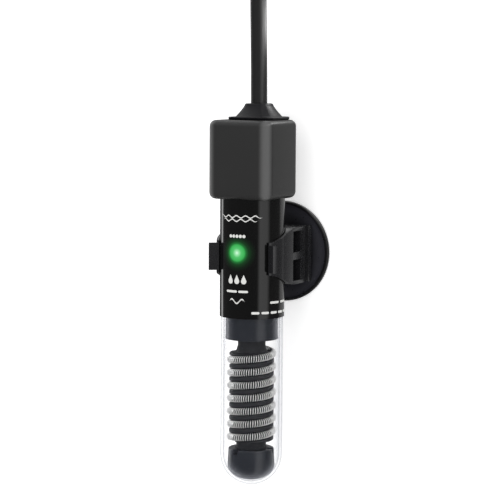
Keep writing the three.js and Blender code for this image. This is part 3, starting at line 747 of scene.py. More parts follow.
# ------------------------------------------------------------------ glass and label
@dataclass
class GlassVessel:
    """The drawn glass tube and the printed film round its upper half, in millimetres."""

    wall: float = 1.0
    lip: float = 0.45
    dome_steps: int = 28
    film: float = 0.28
    film_edge: float = 0.1

    def build_tube(self) -> Piece:
        """Makes the tube as one blown wall with a fire-polished mouth."""
        start, mouth = station("glass_tube")
        radius = box_mm("glass_tube")[1].x
        inner = radius - self.wall
        outside = arc((0, start + radius), (radius, radius), -90, 0, self.dome_steps)
        inside = arc((0, start + radius), (inner, inner), 0, -90, self.dome_steps)
        mouth_edge = fillet([outside[-1], (radius, mouth), (inner, mouth), inside[0]], self.lip)
        return turned("glass_vessel", [*outside, *mouth_edge[1:-1], *inside], 128)

    def build_film(self) -> tuple[Piece, PrintedFilmPaintedGlow]:
        """Makes the printed film, with the lamp's place in its finish as the middle of the painted glow."""
        start, end = station("label_sleeve")
        outer = box_mm("label_sleeve")[1].x
        inner = outer - self.film
        # Gloss-laminated film printed solid black: deep, with clean narrow reflections, and a painted green
        # glow round the lamp.
        finish = PrintedFilmPaintedGlow("film_gloss_black_print_painted_glow", "#0d0d0d", "#090909", roughness=0.1, rough_spread=0.02,
                             grain=2.5, relief=0.0006, mottle=18.0, lamp_y=box_mm("indicator_lamp")[0].y * MM)
        edge = fillet([(inner, start), (outer, start), (outer, end), (inner, end)], self.film_edge, 3)
        return turned("label_film", edge, 128, closed=True), finish

    def build(self) -> None:
        """Builds and dresses both pieces."""
        finish_piece(self.build_tube(), BOROSILICATE, "clear_glass", "heater", "glass_tube")
        film, finish = self.build_film()
        finish_piece(film, finish, "label_film", "heater", "label_sleeve")


EdgePair = Callable[[float], Point2]


@dataclass(frozen=True)
class Mark:
    """One printed shape on the film.

    Attributes:
        angle: Its middle, in degrees from the front.
        drop: Its middle, in millimetres below the cap.
        length: Its length in millimetres.
        edges: Share along it to its lower and upper edge, in millimetres.
    """

    angle: float
    drop: float
    length: float
    edges: EdgePair


def bar(length: float, height: float) -> EdgePair:
    """A bar with round ends."""
    half = height / 2

    def edges(share: float) -> Point2:
        inward = min(min(share, 1 - share) * length, half)
        rise = math.sqrt(max(0.0, half ** 2 - (half - inward) ** 2))
        return (-rise, rise)
    return edges


def wave(crests: float, swing: float, width: float) -> EdgePair:
    """A wavy line that thins towards its ends."""
    def edges(share: float) -> Point2:
        middle = swing * math.sin(2 * math.pi * crests * share)
        half = width / 2 * min(1.0, 8 * share + 0.05, 8 * (1 - share) + 0.05)
        return (middle - half, middle + half)
    return edges


def droplet(radius: float, tip: float) -> EdgePair:
    """A water drop that stands on its round end."""
    lean = math.asin(radius / tip)

    def edges(share: float) -> Point2:
        across = (2 * share - 1) * radius
        low = -math.sqrt(max(0.0, radius ** 2 - across ** 2))
        high = tip - abs(across) / math.tan(lean) if abs(across) < radius * math.cos(lean) else -low
        return (low, high)
    return edges


@dataclass
class LabelPrint:
    """Plain white signs printed on the film, where such a heater carries its data."""

    ink: float = 0.03
    gap: float = 0.012
    columns: int = 28

    def marks(self) -> list[Mark]:
        """Lists the signs: water waves, a level in dots, drops, dashes and an alternating-current wave."""
        dots = [Mark(-13 + 6.5 * i, 12.6, 1.15, bar(1.15, 1.15)) for i in range(5)]
        drops = [Mark(-13 + 13 * i, 28.3, 1.9, droplet(0.95, 2.3)) for i in range(3)]
        waves = [Mark(3, 5.8 + 1.25 * i, 17.0 - 3.4 * i, wave(5 - i, 0.42, 0.4)) for i in range(2)]
        dashes = [Mark(-11, 31.9, 4.6, bar(4.6, 0.8)), Mark(12, 31.9, 3.6, bar(3.6, 0.8))]
        current = [Mark(0, 35.3, 6.0, wave(1.5, 0.75, 0.5))]
        side = [Mark(72 + 26 * i, 35.8, 4.2, bar(4.2, 0.8)) for i in range(3)]
        foot = [Mark(34 + 18 * i, 39.3, 2.9, bar(2.9, 0.85)) for i in range(7)]
        return [*waves, *dots, *drops, *dashes, *current, *side, *foot]

    def column(self, mark: Mark, share: float, inner: float, cap_start: float) -> Ring:
        """One cross-section of a sign: its two edges, on the film and on top of the ink."""
        turn = mark.angle + math.degrees((share - 0.5) * mark.length / inner)
        low, high = mark.edges(share)
        corners = ((inner, low), (inner, high), (inner + self.ink, high), (inner + self.ink, low))
        return [TUBE.around(radius, cap_start - mark.drop + edge, turn) for radius, edge in corners]

    def build(self) -> None:
        """Wraps every sign on the film as a thin layer of ink."""
        inner = box_mm("label_sleeve")[1].x + self.gap
        cap_start = station("head_cap")[0]
        shares = [i / self.columns for i in range(self.columns + 1)]
        signs = [loft([self.column(mark, share, inner, cap_start) for share in shares])
                 for mark in self.marks()]
        finish_piece(new_piece("label_print", *joined(signs)), WHITE_INK, None, "heater")


# ------------------------------------------------------------------ cap and gland
@dataclass
class HeadCap:
    """The square cap over the tube's mouth and the rubber gland on it, in millimetres."""

    corner: float = 4.2
    edge: float = 2.3
    bore: float = 11.7
    inner_bore: float = 11.35
    bore_step: float = 2.6
    mouth_chamfer: float = 0.7
    top_wall: float = 2.3
    corner_steps: int = 12
    edge_steps: int = 9
    flange_corner: float = 3.0
    flange_height: float = 0.8
    flange_edge: float = 0.35
    skirt: float = 8.2
    neck: float = 5.0
    flare_steps: int = 14
    cord_hole: float = 2.95
    hole_depth: float = 2.2
    lip: float = 0.55
    lip_points: tuple[Point2, ...] = ((0.12, 0.2), (0.4, 0.03), (0.7, 0.0))
    hole_chamfer: float = 0.25

    def outline_at(self, half: float, inset: float) -> list[Point2]:
        """The cap's outline moved inwards by inset."""
        return rounded_square(half - inset, max(self.corner - inset, 0.05), self.corner_steps)

    def mouth_insets(self, half: float) -> list[float]:
        """How far in from the outline each point of the round mouth lies."""
        insets = []
        for i in range(len(self.outline_at(half, 0))):
            near, far = 0.0, self.corner
            for _ in range(30):
                middle = (near + far) / 2
                reach = math.hypot(*self.outline_at(half, middle)[i])
                near, far = (middle, far) if reach > self.bore else (near, middle)
            insets.append(near)
        return insets

    def edge_height(self, inset: float) -> float:
        """Height of the rounded edge above the end plane, at a distance in from the side."""
        if inset >= self.edge:
            return 0.0
        return self.edge - math.sqrt(self.edge ** 2 - (self.edge - inset) ** 2)

    def build_cap(self) -> Piece:
        """Lofts the shell from its inner ceiling down the bore, round the mouth and up the outside."""
        start, end = station("head_cap")
        half = box_mm("head_cap")[1].x
        insets = self.mouth_insets(half)
        mouth = [self.outline_at(half, inset)[i] for i, inset in enumerate(insets)]

        def bore_ring(radius: float, y: float) -> Ring:
            return [TUBE.place(x * radius / self.bore, y, z * radius / self.bore) for x, z in mouth]

        def outer_ring(share: float, from_top: bool) -> Ring:
            ring = []
            for i, inset in enumerate(insets):
                reach = (self.edge if from_top else inset) * share
                x, z = self.outline_at(half, reach)[i]
                y = end - self.edge_height(reach) if from_top else start + self.edge_height(reach)
                ring.append(TUBE.place(x, y, z))
            return ring

        ceiling, step = end - self.top_wall, start + self.bore_step
        rings = [bore_ring(radius, y) for radius, y in (
            (CLOSED, ceiling), (self.inner_bore, ceiling), (self.inner_bore, step), (self.bore, step),
            (self.bore, start + self.mouth_chamfer))]
        shares = [(i / self.edge_steps) ** 1.6 for i in range(self.edge_steps + 1)]  # finer towards the side
        rings += [outer_ring(share, False) for share in reversed(shares)]
        rings += [outer_ring(share, True) for share in shares]
        flat = rounded_square(half - self.edge, self.corner - self.edge, self.corner_steps)
        rings += [[TUBE.place(x * scale, end, z * scale) for x, z in flat] for scale in (0.9, 0.5, CLOSED)]
        return lofted("cap_shell", rings, 50)

    def build_gland(self) -> Piece:
        """Lofts the gland from its square flange into the round skirt and the mouth that holds the cord."""
        middle, half = box_mm("cord_gland")
        foot = station("head_cap")[1] + 0.02
        top = station("cord_gland")[1]
        flange_top = foot + 0.28 + self.flange_height
        steps = 16

        def square_ring(inset: float, y: float) -> Ring:
            outline = rounded_square(half.x - inset, self.flange_corner - inset, steps)
            return [TUBE.place(middle.x + x, y, middle.z - TUBE.axis_z + z) for x, z in outline]

        directions = [Vector(p).normalized() for p in rounded_square(half.x, self.flange_corner, steps)]

        def round_ring(radius: float, y: float) -> Ring:
            return [TUBE.place(middle.x + out.x * radius, y, middle.z - TUBE.axis_z + out.y * radius)
                    for out in directions]

        flange = [(half.x * 0.7 - 0.01, foot), (self.flange_edge, foot), (0.05, foot + 0.25)]
        flange += [(0.02 + self.flange_edge * (1 - math.cos(turn)),
                    flange_top - self.flange_edge * (1 - math.sin(turn))) for turn in (0.0, 0.5, 1.0, 1.45)]
        shares = [i / self.flare_steps for i in range(self.flare_steps + 1)]
        boot = [(self.neck + (self.skirt - self.neck) * (1 - share) ** 1.25,
                 flange_top + 0.06 + (top - self.lip - flange_top) * share) for share in shares]
        boot += [(self.neck - inset, top - drop) for inset, drop in self.lip_points]
        boot += [(self.cord_hole + self.hole_chamfer, top), (self.cord_hole, top - self.hole_chamfer),
                 (self.cord_hole, top - self.hole_depth), (CLOSED, top - self.hole_depth)]
        rings = [square_ring(*point) for point in (*flange, (0.8, flange_top))]
        return lofted("gland_boot", rings + [round_ring(*point) for point in boot], 55)

    def build(self) -> None:
        """Builds and dresses the cap and the gland."""
        finish_piece(self.build_cap(), SATIN_ABS, "cap_plastic", "heater", "head_cap")
        finish_piece(self.build_gland(), GLAND_RUBBER, "black_rubber", "heater", "cord_gland")


# ------------------------------------------------------------------ heating element
@dataclass
class HeatingElement:
    """The ridged former, its wound coil, the collar above and the bumper below, in millimetres."""

    pitch: float = 4.6
    end_angle: float = 178.7
    spring_radius: float = 1.17
    wire_radius: float = 0.145
    wrap_pitch: float = 0.76
    lead_bore: float = 1.2
    neck: float = 5.3
    upper_neck: float = 4.9
    groove_half: float = 1.55
    groove_depth: float = 1.85
    shoulder: float = 0.25
    collar_socket: float = 4.8
    collar_taper: float = 0.25
    seat_depth: float = 4.4
    dome: float = 5.2
    rim_taper: float = 0.3
    notches: int = 3
    notch_depth: float = 1.7
    notch_half_angle: float = 8.0

    def __post_init__(self) -> None:
        """Reads the element's stations from the frame."""
        coil_low, coil_high = station("heating_coil")
        section = self.spring_radius + self.wire_radius + 0.01
        self.coil_radius = box_mm("heating_coil")[1].z - section
        self.coil_start = coil_low + section
        self.coil_end = coil_high - section
        self.turns = (self.coil_end - self.coil_start) / self.pitch
        self.start_angle = self.end_angle - 360 * self.turns
        self.core_radius = box_mm("ceramic_core")[1].x
        self.core_start = self.coil_start - 0.1
        self.core_end = self.coil_end - 0.4

    def groove(self, y: float, angle: float) -> float:
        """Radius of the ridged former at a height and an angle in degrees from the front."""
        turn = (y - self.coil_start) / self.pitch - (angle - self.start_angle) / 360
        off = abs(turn - round(turn)) * self.pitch
        past = off - self.groove_half
        if past > self.shoulder:
            return self.core_radius
        if past > 0:
            return self.core_radius - self.shoulder * (1 - past / self.shoulder) ** 2
        depth = math.sqrt(max(0.0, 1 - (off / (self.groove_half + 0.15)) ** 2))
        return self.core_radius - self.shoulder - self.groove_depth * depth

    def build_core(self) -> Piece:
        """Makes the former as a turned body with a screw-like groove for the coil."""
        foot, top = station("ceramic_core")
        length = self.core_end - self.core_start
        count = round(length / 0.17)
        end_chamfer = 0.3

        def even(points: Sequence[Point2]) -> list[tuple[float, Callable[[float], float]]]:
            return [(y, lambda _, r=r: r) for r, y in fillet(points, 0.4)]

        def ridged(i: int) -> tuple[float, Callable[[float], float]]:
            y = self.core_start + length * i / count
            widest = self.core_radius - end_chamfer * (1 - min(1.0, i / 2, (count - i) / 2))
            return y, lambda angle: min(self.groove(y, angle), widest)

        rows = even([(self.lead_bore, foot), (self.neck, foot), (self.neck, self.core_start)])
        rows += [ridged(i) for i in range(count + 1)]
        rows += even([(self.core_radius - 0.6, self.core_end), (self.upper_neck + 0.7, self.core_end + 0.1),
                      (self.upper_neck, self.core_end + 2.5), (self.upper_neck, top), (self.lead_bore, top)])
        rings = [[TUBE.around(radius(a), y, a) for a in circle(96, 360)] for y, radius in rows]
        return lofted("ridged_former", rings, 50, closed=True)

    def coil_tree(self) -> Tree:
        """Builds the node tree that winds a fine spring and lays it along a helix.

        Returns:
            A tree whose point number runs along the wire: it turns once round the spring for each wrap,
            and the spring's own centre turns round the former.
        """
        reals = ("Helix Radius", "Pitch", "Turns", "Spring Radius", "Wraps", "Wire Radius", "Start Angle")
        tree, given = new_tree("wound_spring", [
            *((name, "NodeSocketFloat") for name in reals), ("Points", "NodeSocketInt"),
            ("Centre", "NodeSocketVector"), ("Material", "NodeSocketMaterial")])
        value = given.outputs
        calc = partial(maths, tree)
        helix, spring = value["Helix Radius"], value["Spring Radius"]
        line = add_node(tree, "GeometryNodeCurvePrimitiveLine", {"End": (0.0, 1.0, 0.0)})
        fine = add_node(tree, "GeometryNodeResampleCurve", {"Curve": line.outputs[0],
                                                            "Count": value["Points"]})
        share = add_node(tree, "GeometryNodeSplineParameter").outputs["Factor"]
        turned_by = calc("MULTIPLY", share, calc("MULTIPLY", value["Turns"], 2 * math.pi))
        around = calc("ADD", turned_by, value["Start Angle"])
        wrap = calc("MULTIPLY", share, calc("MULTIPLY", value["Wraps"], 2 * math.pi))
        lean = calc("DIVIDE", value["Pitch"], calc("MULTIPLY", helix, 2 * math.pi))
        radius = calc("ADD", helix, calc("MULTIPLY", spring, calc("COSINE", wrap)))
        across = calc("MULTIPLY", spring, calc("SINE", wrap))
        slip = calc("MULTIPLY", across, lean)  # the spring's cross-section leans with the helix
        sine, cosine = calc("SINE", around), calc("COSINE", around)
        climbed = calc("MULTIPLY", share, calc("MULTIPLY", value["Turns"], value["Pitch"]))
        point = add_node(tree, "ShaderNodeCombineXYZ", {
            0: calc("SUBTRACT", calc("MULTIPLY", radius, sine), calc("MULTIPLY", slip, cosine)),
            1: calc("ADD", climbed, across),
            2: calc("ADD", calc("MULTIPLY", radius, cosine), calc("MULTIPLY", slip, sine))})
        moved = add_node(tree, "ShaderNodeVectorMath", {0: point.outputs[0], 1: value["Centre"]},
                         operation="ADD")
        laid = add_node(tree, "GeometryNodeSetPosition", {"Geometry": fine.outputs[0],
                                                          "Position": moved.outputs[0]})
        section = add_node(tree, "GeometryNodeCurvePrimitiveCircle", {"Resolution": 5,
                                                                      "Radius": value["Wire Radius"]})
        wire = add_node(tree, "GeometryNodeCurveToMesh", {
            "Curve": laid.outputs[0], "Profile Curve": section.outputs[0], "Fill Caps": True})
        close_tree(tree, wire.outputs[0], value["Material"])
        return tree

    def build_coil(self) -> Piece:
        """Winds the resistance wire."""
        length = self.turns * math.hypot(2 * math.pi * self.coil_radius, self.pitch)
        wraps = round(length / self.wrap_pitch)
        points_per_wrap = 12
        return grown("resistance_wire", self.coil_tree(), {
            "Helix Radius": self.coil_radius * MM, "Pitch": self.pitch * MM, "Turns": self.turns,
            "Spring Radius": self.spring_radius * MM, "Wraps": float(wraps),
            "Wire Radius": self.wire_radius * MM, "Start Angle": math.radians(self.start_angle),
            "Points": points_per_wrap * wraps, "Centre": TUBE.place(0, self.coil_start, 0),
            "Material": NICHROME.material()}, 80)

    def build_collar(self) -> Piece:
        """Turns the collar, with its socket for the former's neck."""
        start, end = station("core_collar")
        foot_radius = box_mm("core_collar")[1].x
        radius = foot_radius - self.collar_taper
        socket = self.upper_neck + 0.15
        floor = start + self.collar_socket
        profile = fillet([(self.lead_bore, end), (self.lead_bore, floor), (socket, floor), (socket, start),
                          (foot_radius, start), (radius, start + 1.4), (radius, end),
                          (self.lead_bore + 0.01, end)], 0.35)
        return turned("former_collar", profile, 96, closed=True, crease=50)

    def build_bumper(self) -> Piece:
        """Makes the bumper: a round-ended cup whose rim has three notches for the wire."""
        start, end = station("end_bumper")
        radius = box_mm("end_bumper")[1].x
        socket = self.neck + 0.2
        floor = end - self.seat_depth

        def rim(y: float, angle: float) -> float:
            middles = [self.start_angle + 360 * n / self.notches for n in range(self.notches)]
            off = min(abs((angle - middle + 180) % 360 - 180) for middle in middles)
            cut = min(1.0, max(0.0, (self.notch_half_angle - off) / 1.5 + 0.5))
            return min(y, end - self.notch_depth * cut)

        profile = arc((0, start + self.dome), (radius, self.dome), -90, 0, 18)
        profile += fillet([(radius, start + self.dome + 0.1), (radius - self.rim_taper, end), (socket, end),
                           (socket, floor)], 0.45)
        profile += [(socket * 0.5, floor), (CLOSED, floor)]
        return lofted("end_cushion", [[TUBE.around(r, rim(y, a), a) for a in circle(144, 360)]
                                      for r, y in profile], 50)

    def build(self) -> None:
        """Builds and dresses the element's four pieces."""
        finish_piece(self.build_core(), CORE_STEATITE, "core_ceramic", "heater", "ceramic_core")
        finish_piece(self.build_coil(), NICHROME, "resistance_wire", "heater", "heating_coil")
        finish_piece(self.build_collar(), FORMER_PHENOLIC, "former_plastic", "heater", "core_collar")
        finish_piece(self.build_bumper(), FORMER_PHENOLIC, "former_plastic", "heater", "end_bumper")


# ------------------------------------------------------------------ seals and electronics
@dataclass
class Electronics:
    """The seals, circuit board, components and wires, which keep the frame's own shapes."""

    finishes: dict[str, Finish] = field(default_factory=lambda: {
        "seal_plug": SEAL_RUBBER, "seal_ring": SEAL_RUBBER, "circuit_board": BOARD_LAMINATE,
        "film_capacitor": AMBER_EPOXY, "smoothing_capacitor": BLUE_SLEEVE, "power_triac": BLACK_EPOXY,
        "control_chip": BLACK_EPOXY, "dropper_resistor": TAN_LACQUER, "thermal_fuse": TINNED,
        "temperature_sensor": BLACK_EPOXY, "live_wire": DARK_INSULATION, "neutral_wire": PALE_INSULATION,
        "coil_crimp": TINNED, "coil_lead": PALE_INSULATION, "return_lead": PALE_INSULATION,
        "indicator_lamp": LitLens("epoxy_lens_green", "#4fbf68", "#3fae58", roughness=0.15, mottle=3.0)})

    def build(self) -> None:
        """Dresses every inner node."""
        for node, finish in self.finishes.items():
            dress_node(node, finish)


# ------------------------------------------------------------------ clip and suction cup
@dataclass
class SuctionClip:
    """The sliding clip and the suction cup in its backplate, in millimetres.

    Attributes:
        edge_rounding: Rounding of the clip's edges.
        land: Width of the cup's flat rim.
        hollow: Height of the space under the cup.
        boss: Radius of the thick middle.
        neck: Radius of the stem in the backplate.
        knob: Radius of the stem's head.
        head: Height of the stem's head.
        rim: The rim's outer corner points, as distance in from the edge and height.
        back: Radius and height of points along the cup's back.
    """

    edge_rounding: float = 0.32
    land: float = 1.6
    hollow: float = 1.5
    boss: float = 6.0
    neck: float = 2.9
    knob: float = 4.4
    head: float = 2.8
    rim: tuple[Point2, ...] = ((0.0, 0.0), (0.0, 1.5), (0.9, 1.95), (1.9, 1.62))
    back: tuple[Point2, ...] = ((13.9, 1.92), (10.7, 2.3), (8.2, 2.72), (6.7, 2.98))

    def build_cup(self) -> Piece:
        """Turns the suction cup about its own upright axis, rim down on the floor."""
        middle, half = box_mm("suction_cup")
        radius = half.x
        top = middle.z + half.z
        middle_y = middle.y - TUBE.tip_y
        boss_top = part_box("tube_clip")[0].z / MM - 0.3
        head_foot = top - self.head
        hollow = arc((0, 0), (radius - self.land, self.hollow), 90, 0, 16)
        rim = [(radius - inset, height) for inset, height in self.rim]
        lip = fillet([(radius - self.land, 0), *rim], 0.7, 6)
        back = smooth_route([(r, height, 0) for r, height in (rim[-1], *self.back)], 0.6)
        knob = fillet([self.back[-1], (self.boss, boss_top), (self.neck, boss_top), (self.neck, head_foot),
                       (self.knob, head_foot + 0.1), (self.knob, top - 1.0), (self.knob - 1.2, top),
                       (CLOSED, top)], 0.5)
        profile = [*hollow, *lip[1:-1], *[(p.x, p.y) for p in back], *knob[1:]]
        rings = [[TUBE.place(r * math.sin(a), middle_y - r * math.cos(a), height - TUBE.axis_z)
                  for a in circle(160)] for r, height in profile]
        return lofted("cup_rubber", rings, 50)

    def build(self) -> None:
        """Builds and dresses the clip and the cup."""
        clip = softened("tube_clip", "clip_moulding", self.edge_rounding)
        finish_piece(clip, CLIP_NYLON, "clip_plastic", "clip", "tube_clip")
        finish_piece(self.build_cup(), CUP_RUBBER, "black_rubber", "cup", "suction_cup")


# ------------------------------------------------------------------ cord and plug
# Metres, in the part's frame: out of the gland, level past the view, then down to the floor and to the hank.
LEAD_ROUTE = (
    (0.0016, 0.0678, 0.0238), (0.0015, 0.080, 0.0238), (0.0013, 0.092, 0.0238), (0.0011, 0.104, 0.0238),
    (0.0012, 0.112, 0.0236), (0.0019, 0.120, 0.0228), (0.0034, 0.128, 0.0210), (0.0058, 0.136, 0.0181),
    (0.0088, 0.144, 0.0145), (0.0118, 0.152, 0.0107), (0.0145, 0.160, 0.0073), (0.0165, 0.168, 0.0049),
    (0.0173, 0.174, 0.0039), (0.0174, 0.1762, 0.0038),
)
TAIL_ROUTE = (
    (-0.0110, 0.2686, 0.0124), (-0.0084, 0.2635, 0.0110), (-0.0048, 0.2565, 0.0092), (-0.0020, 0.249, 0.0077),
    (-0.0004, 0.242, 0.0070), (0.0, 0.2374, 0.0069),
)


@dataclass
class MainsCord:
    """The power cord, put away as a flat hank with two ties, and its moulded two-blade plug.

    Attributes:
        diameter: The cord's diameter in millimetres.
        length: Its length in metres.
        layers: Turns of the hank, one on another.
        fold_points: Points along each half turn.
        tuck: How much tighter each layer is than the one below, in millimetres.
        tie_play: Room between a tie and the cord, in millimetres.
        tie_half: Half the thickness and half the width of a tie, in millimetres.
        tie_corner: Radius of a tie's bends, in millimetres.
    """

    diameter: float = 5.8
    length: float = 0.94
    layers: int = 3
    fold_points: int = 14
    tuck: float = 0.25
    tie_play: float = 0.45
    tie_half: Point2 = (0.28, 2.0)
    tie_corner: float = 2.6

    def __post_init__(self) -> None:
        """Reads the hank's place from the frame."""
        middle, half = box_mm("cord_hank")
        self.radius = half.x - self.diameter / 2
        self.near = middle.y - half.y + half.x
        self.far = middle.y + half.y - half.x
        self.floor_z = middle.z - half.z + self.diameter / 2

    def fold(self, centre_y: float, start: float, height: Callable[[float], float], radius: float) -> Ring:
        """Half a turn of the hank.

        Args:
            centre_y: Middle of the fold.
            start: Angle in degrees at its start: 0 at the far end, 180 at the near end.
            height: Share of the fold to the height of the cord's middle.
            radius: Radius of the fold.

        Returns:
            Points in millimetres.
        """
        bend = arc((0, centre_y), (radius, radius), start, start + 180, self.fold_points)
        return [Vector((x, y, height(i / self.fold_points))) for i, (x, y) in enumerate(bend)][1:]

    def run(self, x: float, y0: float, y1: float, z: float, sway: float) -> list[Vector]:
        """A straight side of the hank, which sways inwards a little."""
        steps = 8
        inward = -math.copysign(1.0, x)
        shares = [i / steps for i in range(1, steps + 1)]
        return [Vector((x + inward * sway * math.sin(math.pi * share) ** 2, y0 + (y1 - y0) * share, z))
                for share in shares]

    def hank(self) -> list[Vector]:
        """The turns of the hank: each rises by one diameter in the near fold, over the cord that comes in."""
        points = [Vector((self.radius, self.near, self.floor_z))]
        climb_end = 0.73  # share of the near fold
        for layer in range(self.layers):
            low = self.floor_z + layer * self.diameter
            radius = self.radius - self.tuck * layer
            right_sway, left_sway = 0.5 - 0.3 * layer, 0.3 + 0.2 * layer
            points += self.run(radius, self.near, self.far, low, right_sway)
            points += self.fold(self.far, 0, lambda _: low, radius)
            if layer + 1 == self.layers:
                break
            points += self.run(-radius, self.far, self.near, low, left_sway)

            def climb(share: float, low: float = low) -> float:
                return low + self.diameter * (1 - math.cos(math.pi * min(1.0, share / climb_end))) / 2
            points += self.fold(self.near, 180, climb, radius - self.tuck)
        return points

    def centreline(self) -> list[Vector]:
        """The whole cord's line in millimetres, from inside the gland to inside the plug's relief."""
        lead = [Vector(p) / MM for p in LEAD_ROUTE]
        tail = [Vector(p) / MM for p in TAIL_ROUTE]
        turn_off = [Vector((-16.5, self.far - 6.5, 14.9)), Vector((-14.2, self.far - 12.6, 13.8))]
        start = lead[0] - Vector((0, 2.0, 0))
        return smooth_route([start, *lead, *self.hank(), *turn_off, *tail, tail[-1] - Vector((0, 3, 0))], 1.6)

    def build_cord(self) -> Piece:
        """Makes the sheath as a bevelled curve along the centreline."""
        data = bpy.data.curves.new("power_lead", "CURVE")
        data.dimensions = "3D"
        data.bevel_depth = self.diameter / 2 * MM
        data.bevel_resolution = 7
        data.use_fill_caps = True
        points = self.centreline()
        spline = data.splines.new("POLY")
        spline.points.add(len(points) - 1)
        for knot, point in zip(spline.points, points):
            knot.co = (*(point * MM), 1.0)
        spline.use_smooth = True
        return linked("power_lead", data)

    def tie(self, side: str) -> Piece:
        """Bends a flat twist tie round one side of the hank, with its twisted tails on top.

        Args:
            side: "right", where three strands lie, or "left", where two do.

        Returns:
            The tie.
        """
        inward = -1 if side == "right" else 1
        strands = self.layers if side == "right" else self.layers - 1
        middle = box_mm("cord_tie_" + side)[0]
        foot = 0.3
        top = self.floor_z + (strands - 0.5) * self.diameter + 0.35
        half_x, half_z = self.diameter / 2 + self.tie_play, (top - foot) / 2
        centre = Vector((middle.x, middle.y, (top + foot) / 2))
        thick, wide = self.tie_half

        def squared(share: float) -> float:
            return math.copysign(abs(share) ** 0.6, share)

        section = [(thick * squared(math.sin(a)), wide * squared(math.cos(a))) for a in circle(12)]
        rings = []
        for x, z in rounded_oblong(half_x, half_z, self.tie_corner, 8):
            out = Vector((x, z)).normalized()
            rings.append([(centre + Vector((x + out.x * push, lay, z + out.y * push))) * MM
                          for push, lay in section])
        tails = self.twist(centre + Vector((inward * (half_x + 0.2), 0, half_z * 0.35)), inward)
        return new_piece("twist_" + side, *joined([loft(rings, closed=True), tails]), 60)

    def twist(self, foot: Vector, side: int) -> Mesh:
        """The twisted tails of a tie, standing off its inner side."""
        rings = []
        steps, reach, rise, half_turns = 26, 5.5, 2.2, 4.5
        for i in range(steps + 1):
            share = i / steps
            turn = half_turns * math.pi * share
            centre = foot + Vector((side * (0.2 + reach * share), 0, rise * math.sin(share * 1.6)))
            flats = [(0.75 * math.cos(a), 0.3 * math.sin(a)) for a in circle(8)]
            rings.append([(centre + Vector((0, flat * math.cos(turn) - thin * math.sin(turn),
                                            flat * math.sin(turn) + thin * math.cos(turn)))) * MM
                          for flat, thin in flats])
        return loft(rings)

    def build(self) -> None:
        cord = self.build_cord()
        finish_piece(cord, CORD_PVC, "cord_jacket", "heater", "power_cord", "cord_hank", "cord_tail")
        ties = [finish_piece(self.tie(side), TIE_PLASTIC, "tie_plastic", "heater", "cord_tie_" + side)
                for side in ("right", "left")]
        plug = MainsPlug(cord_radius=self.diameter / 2).build()


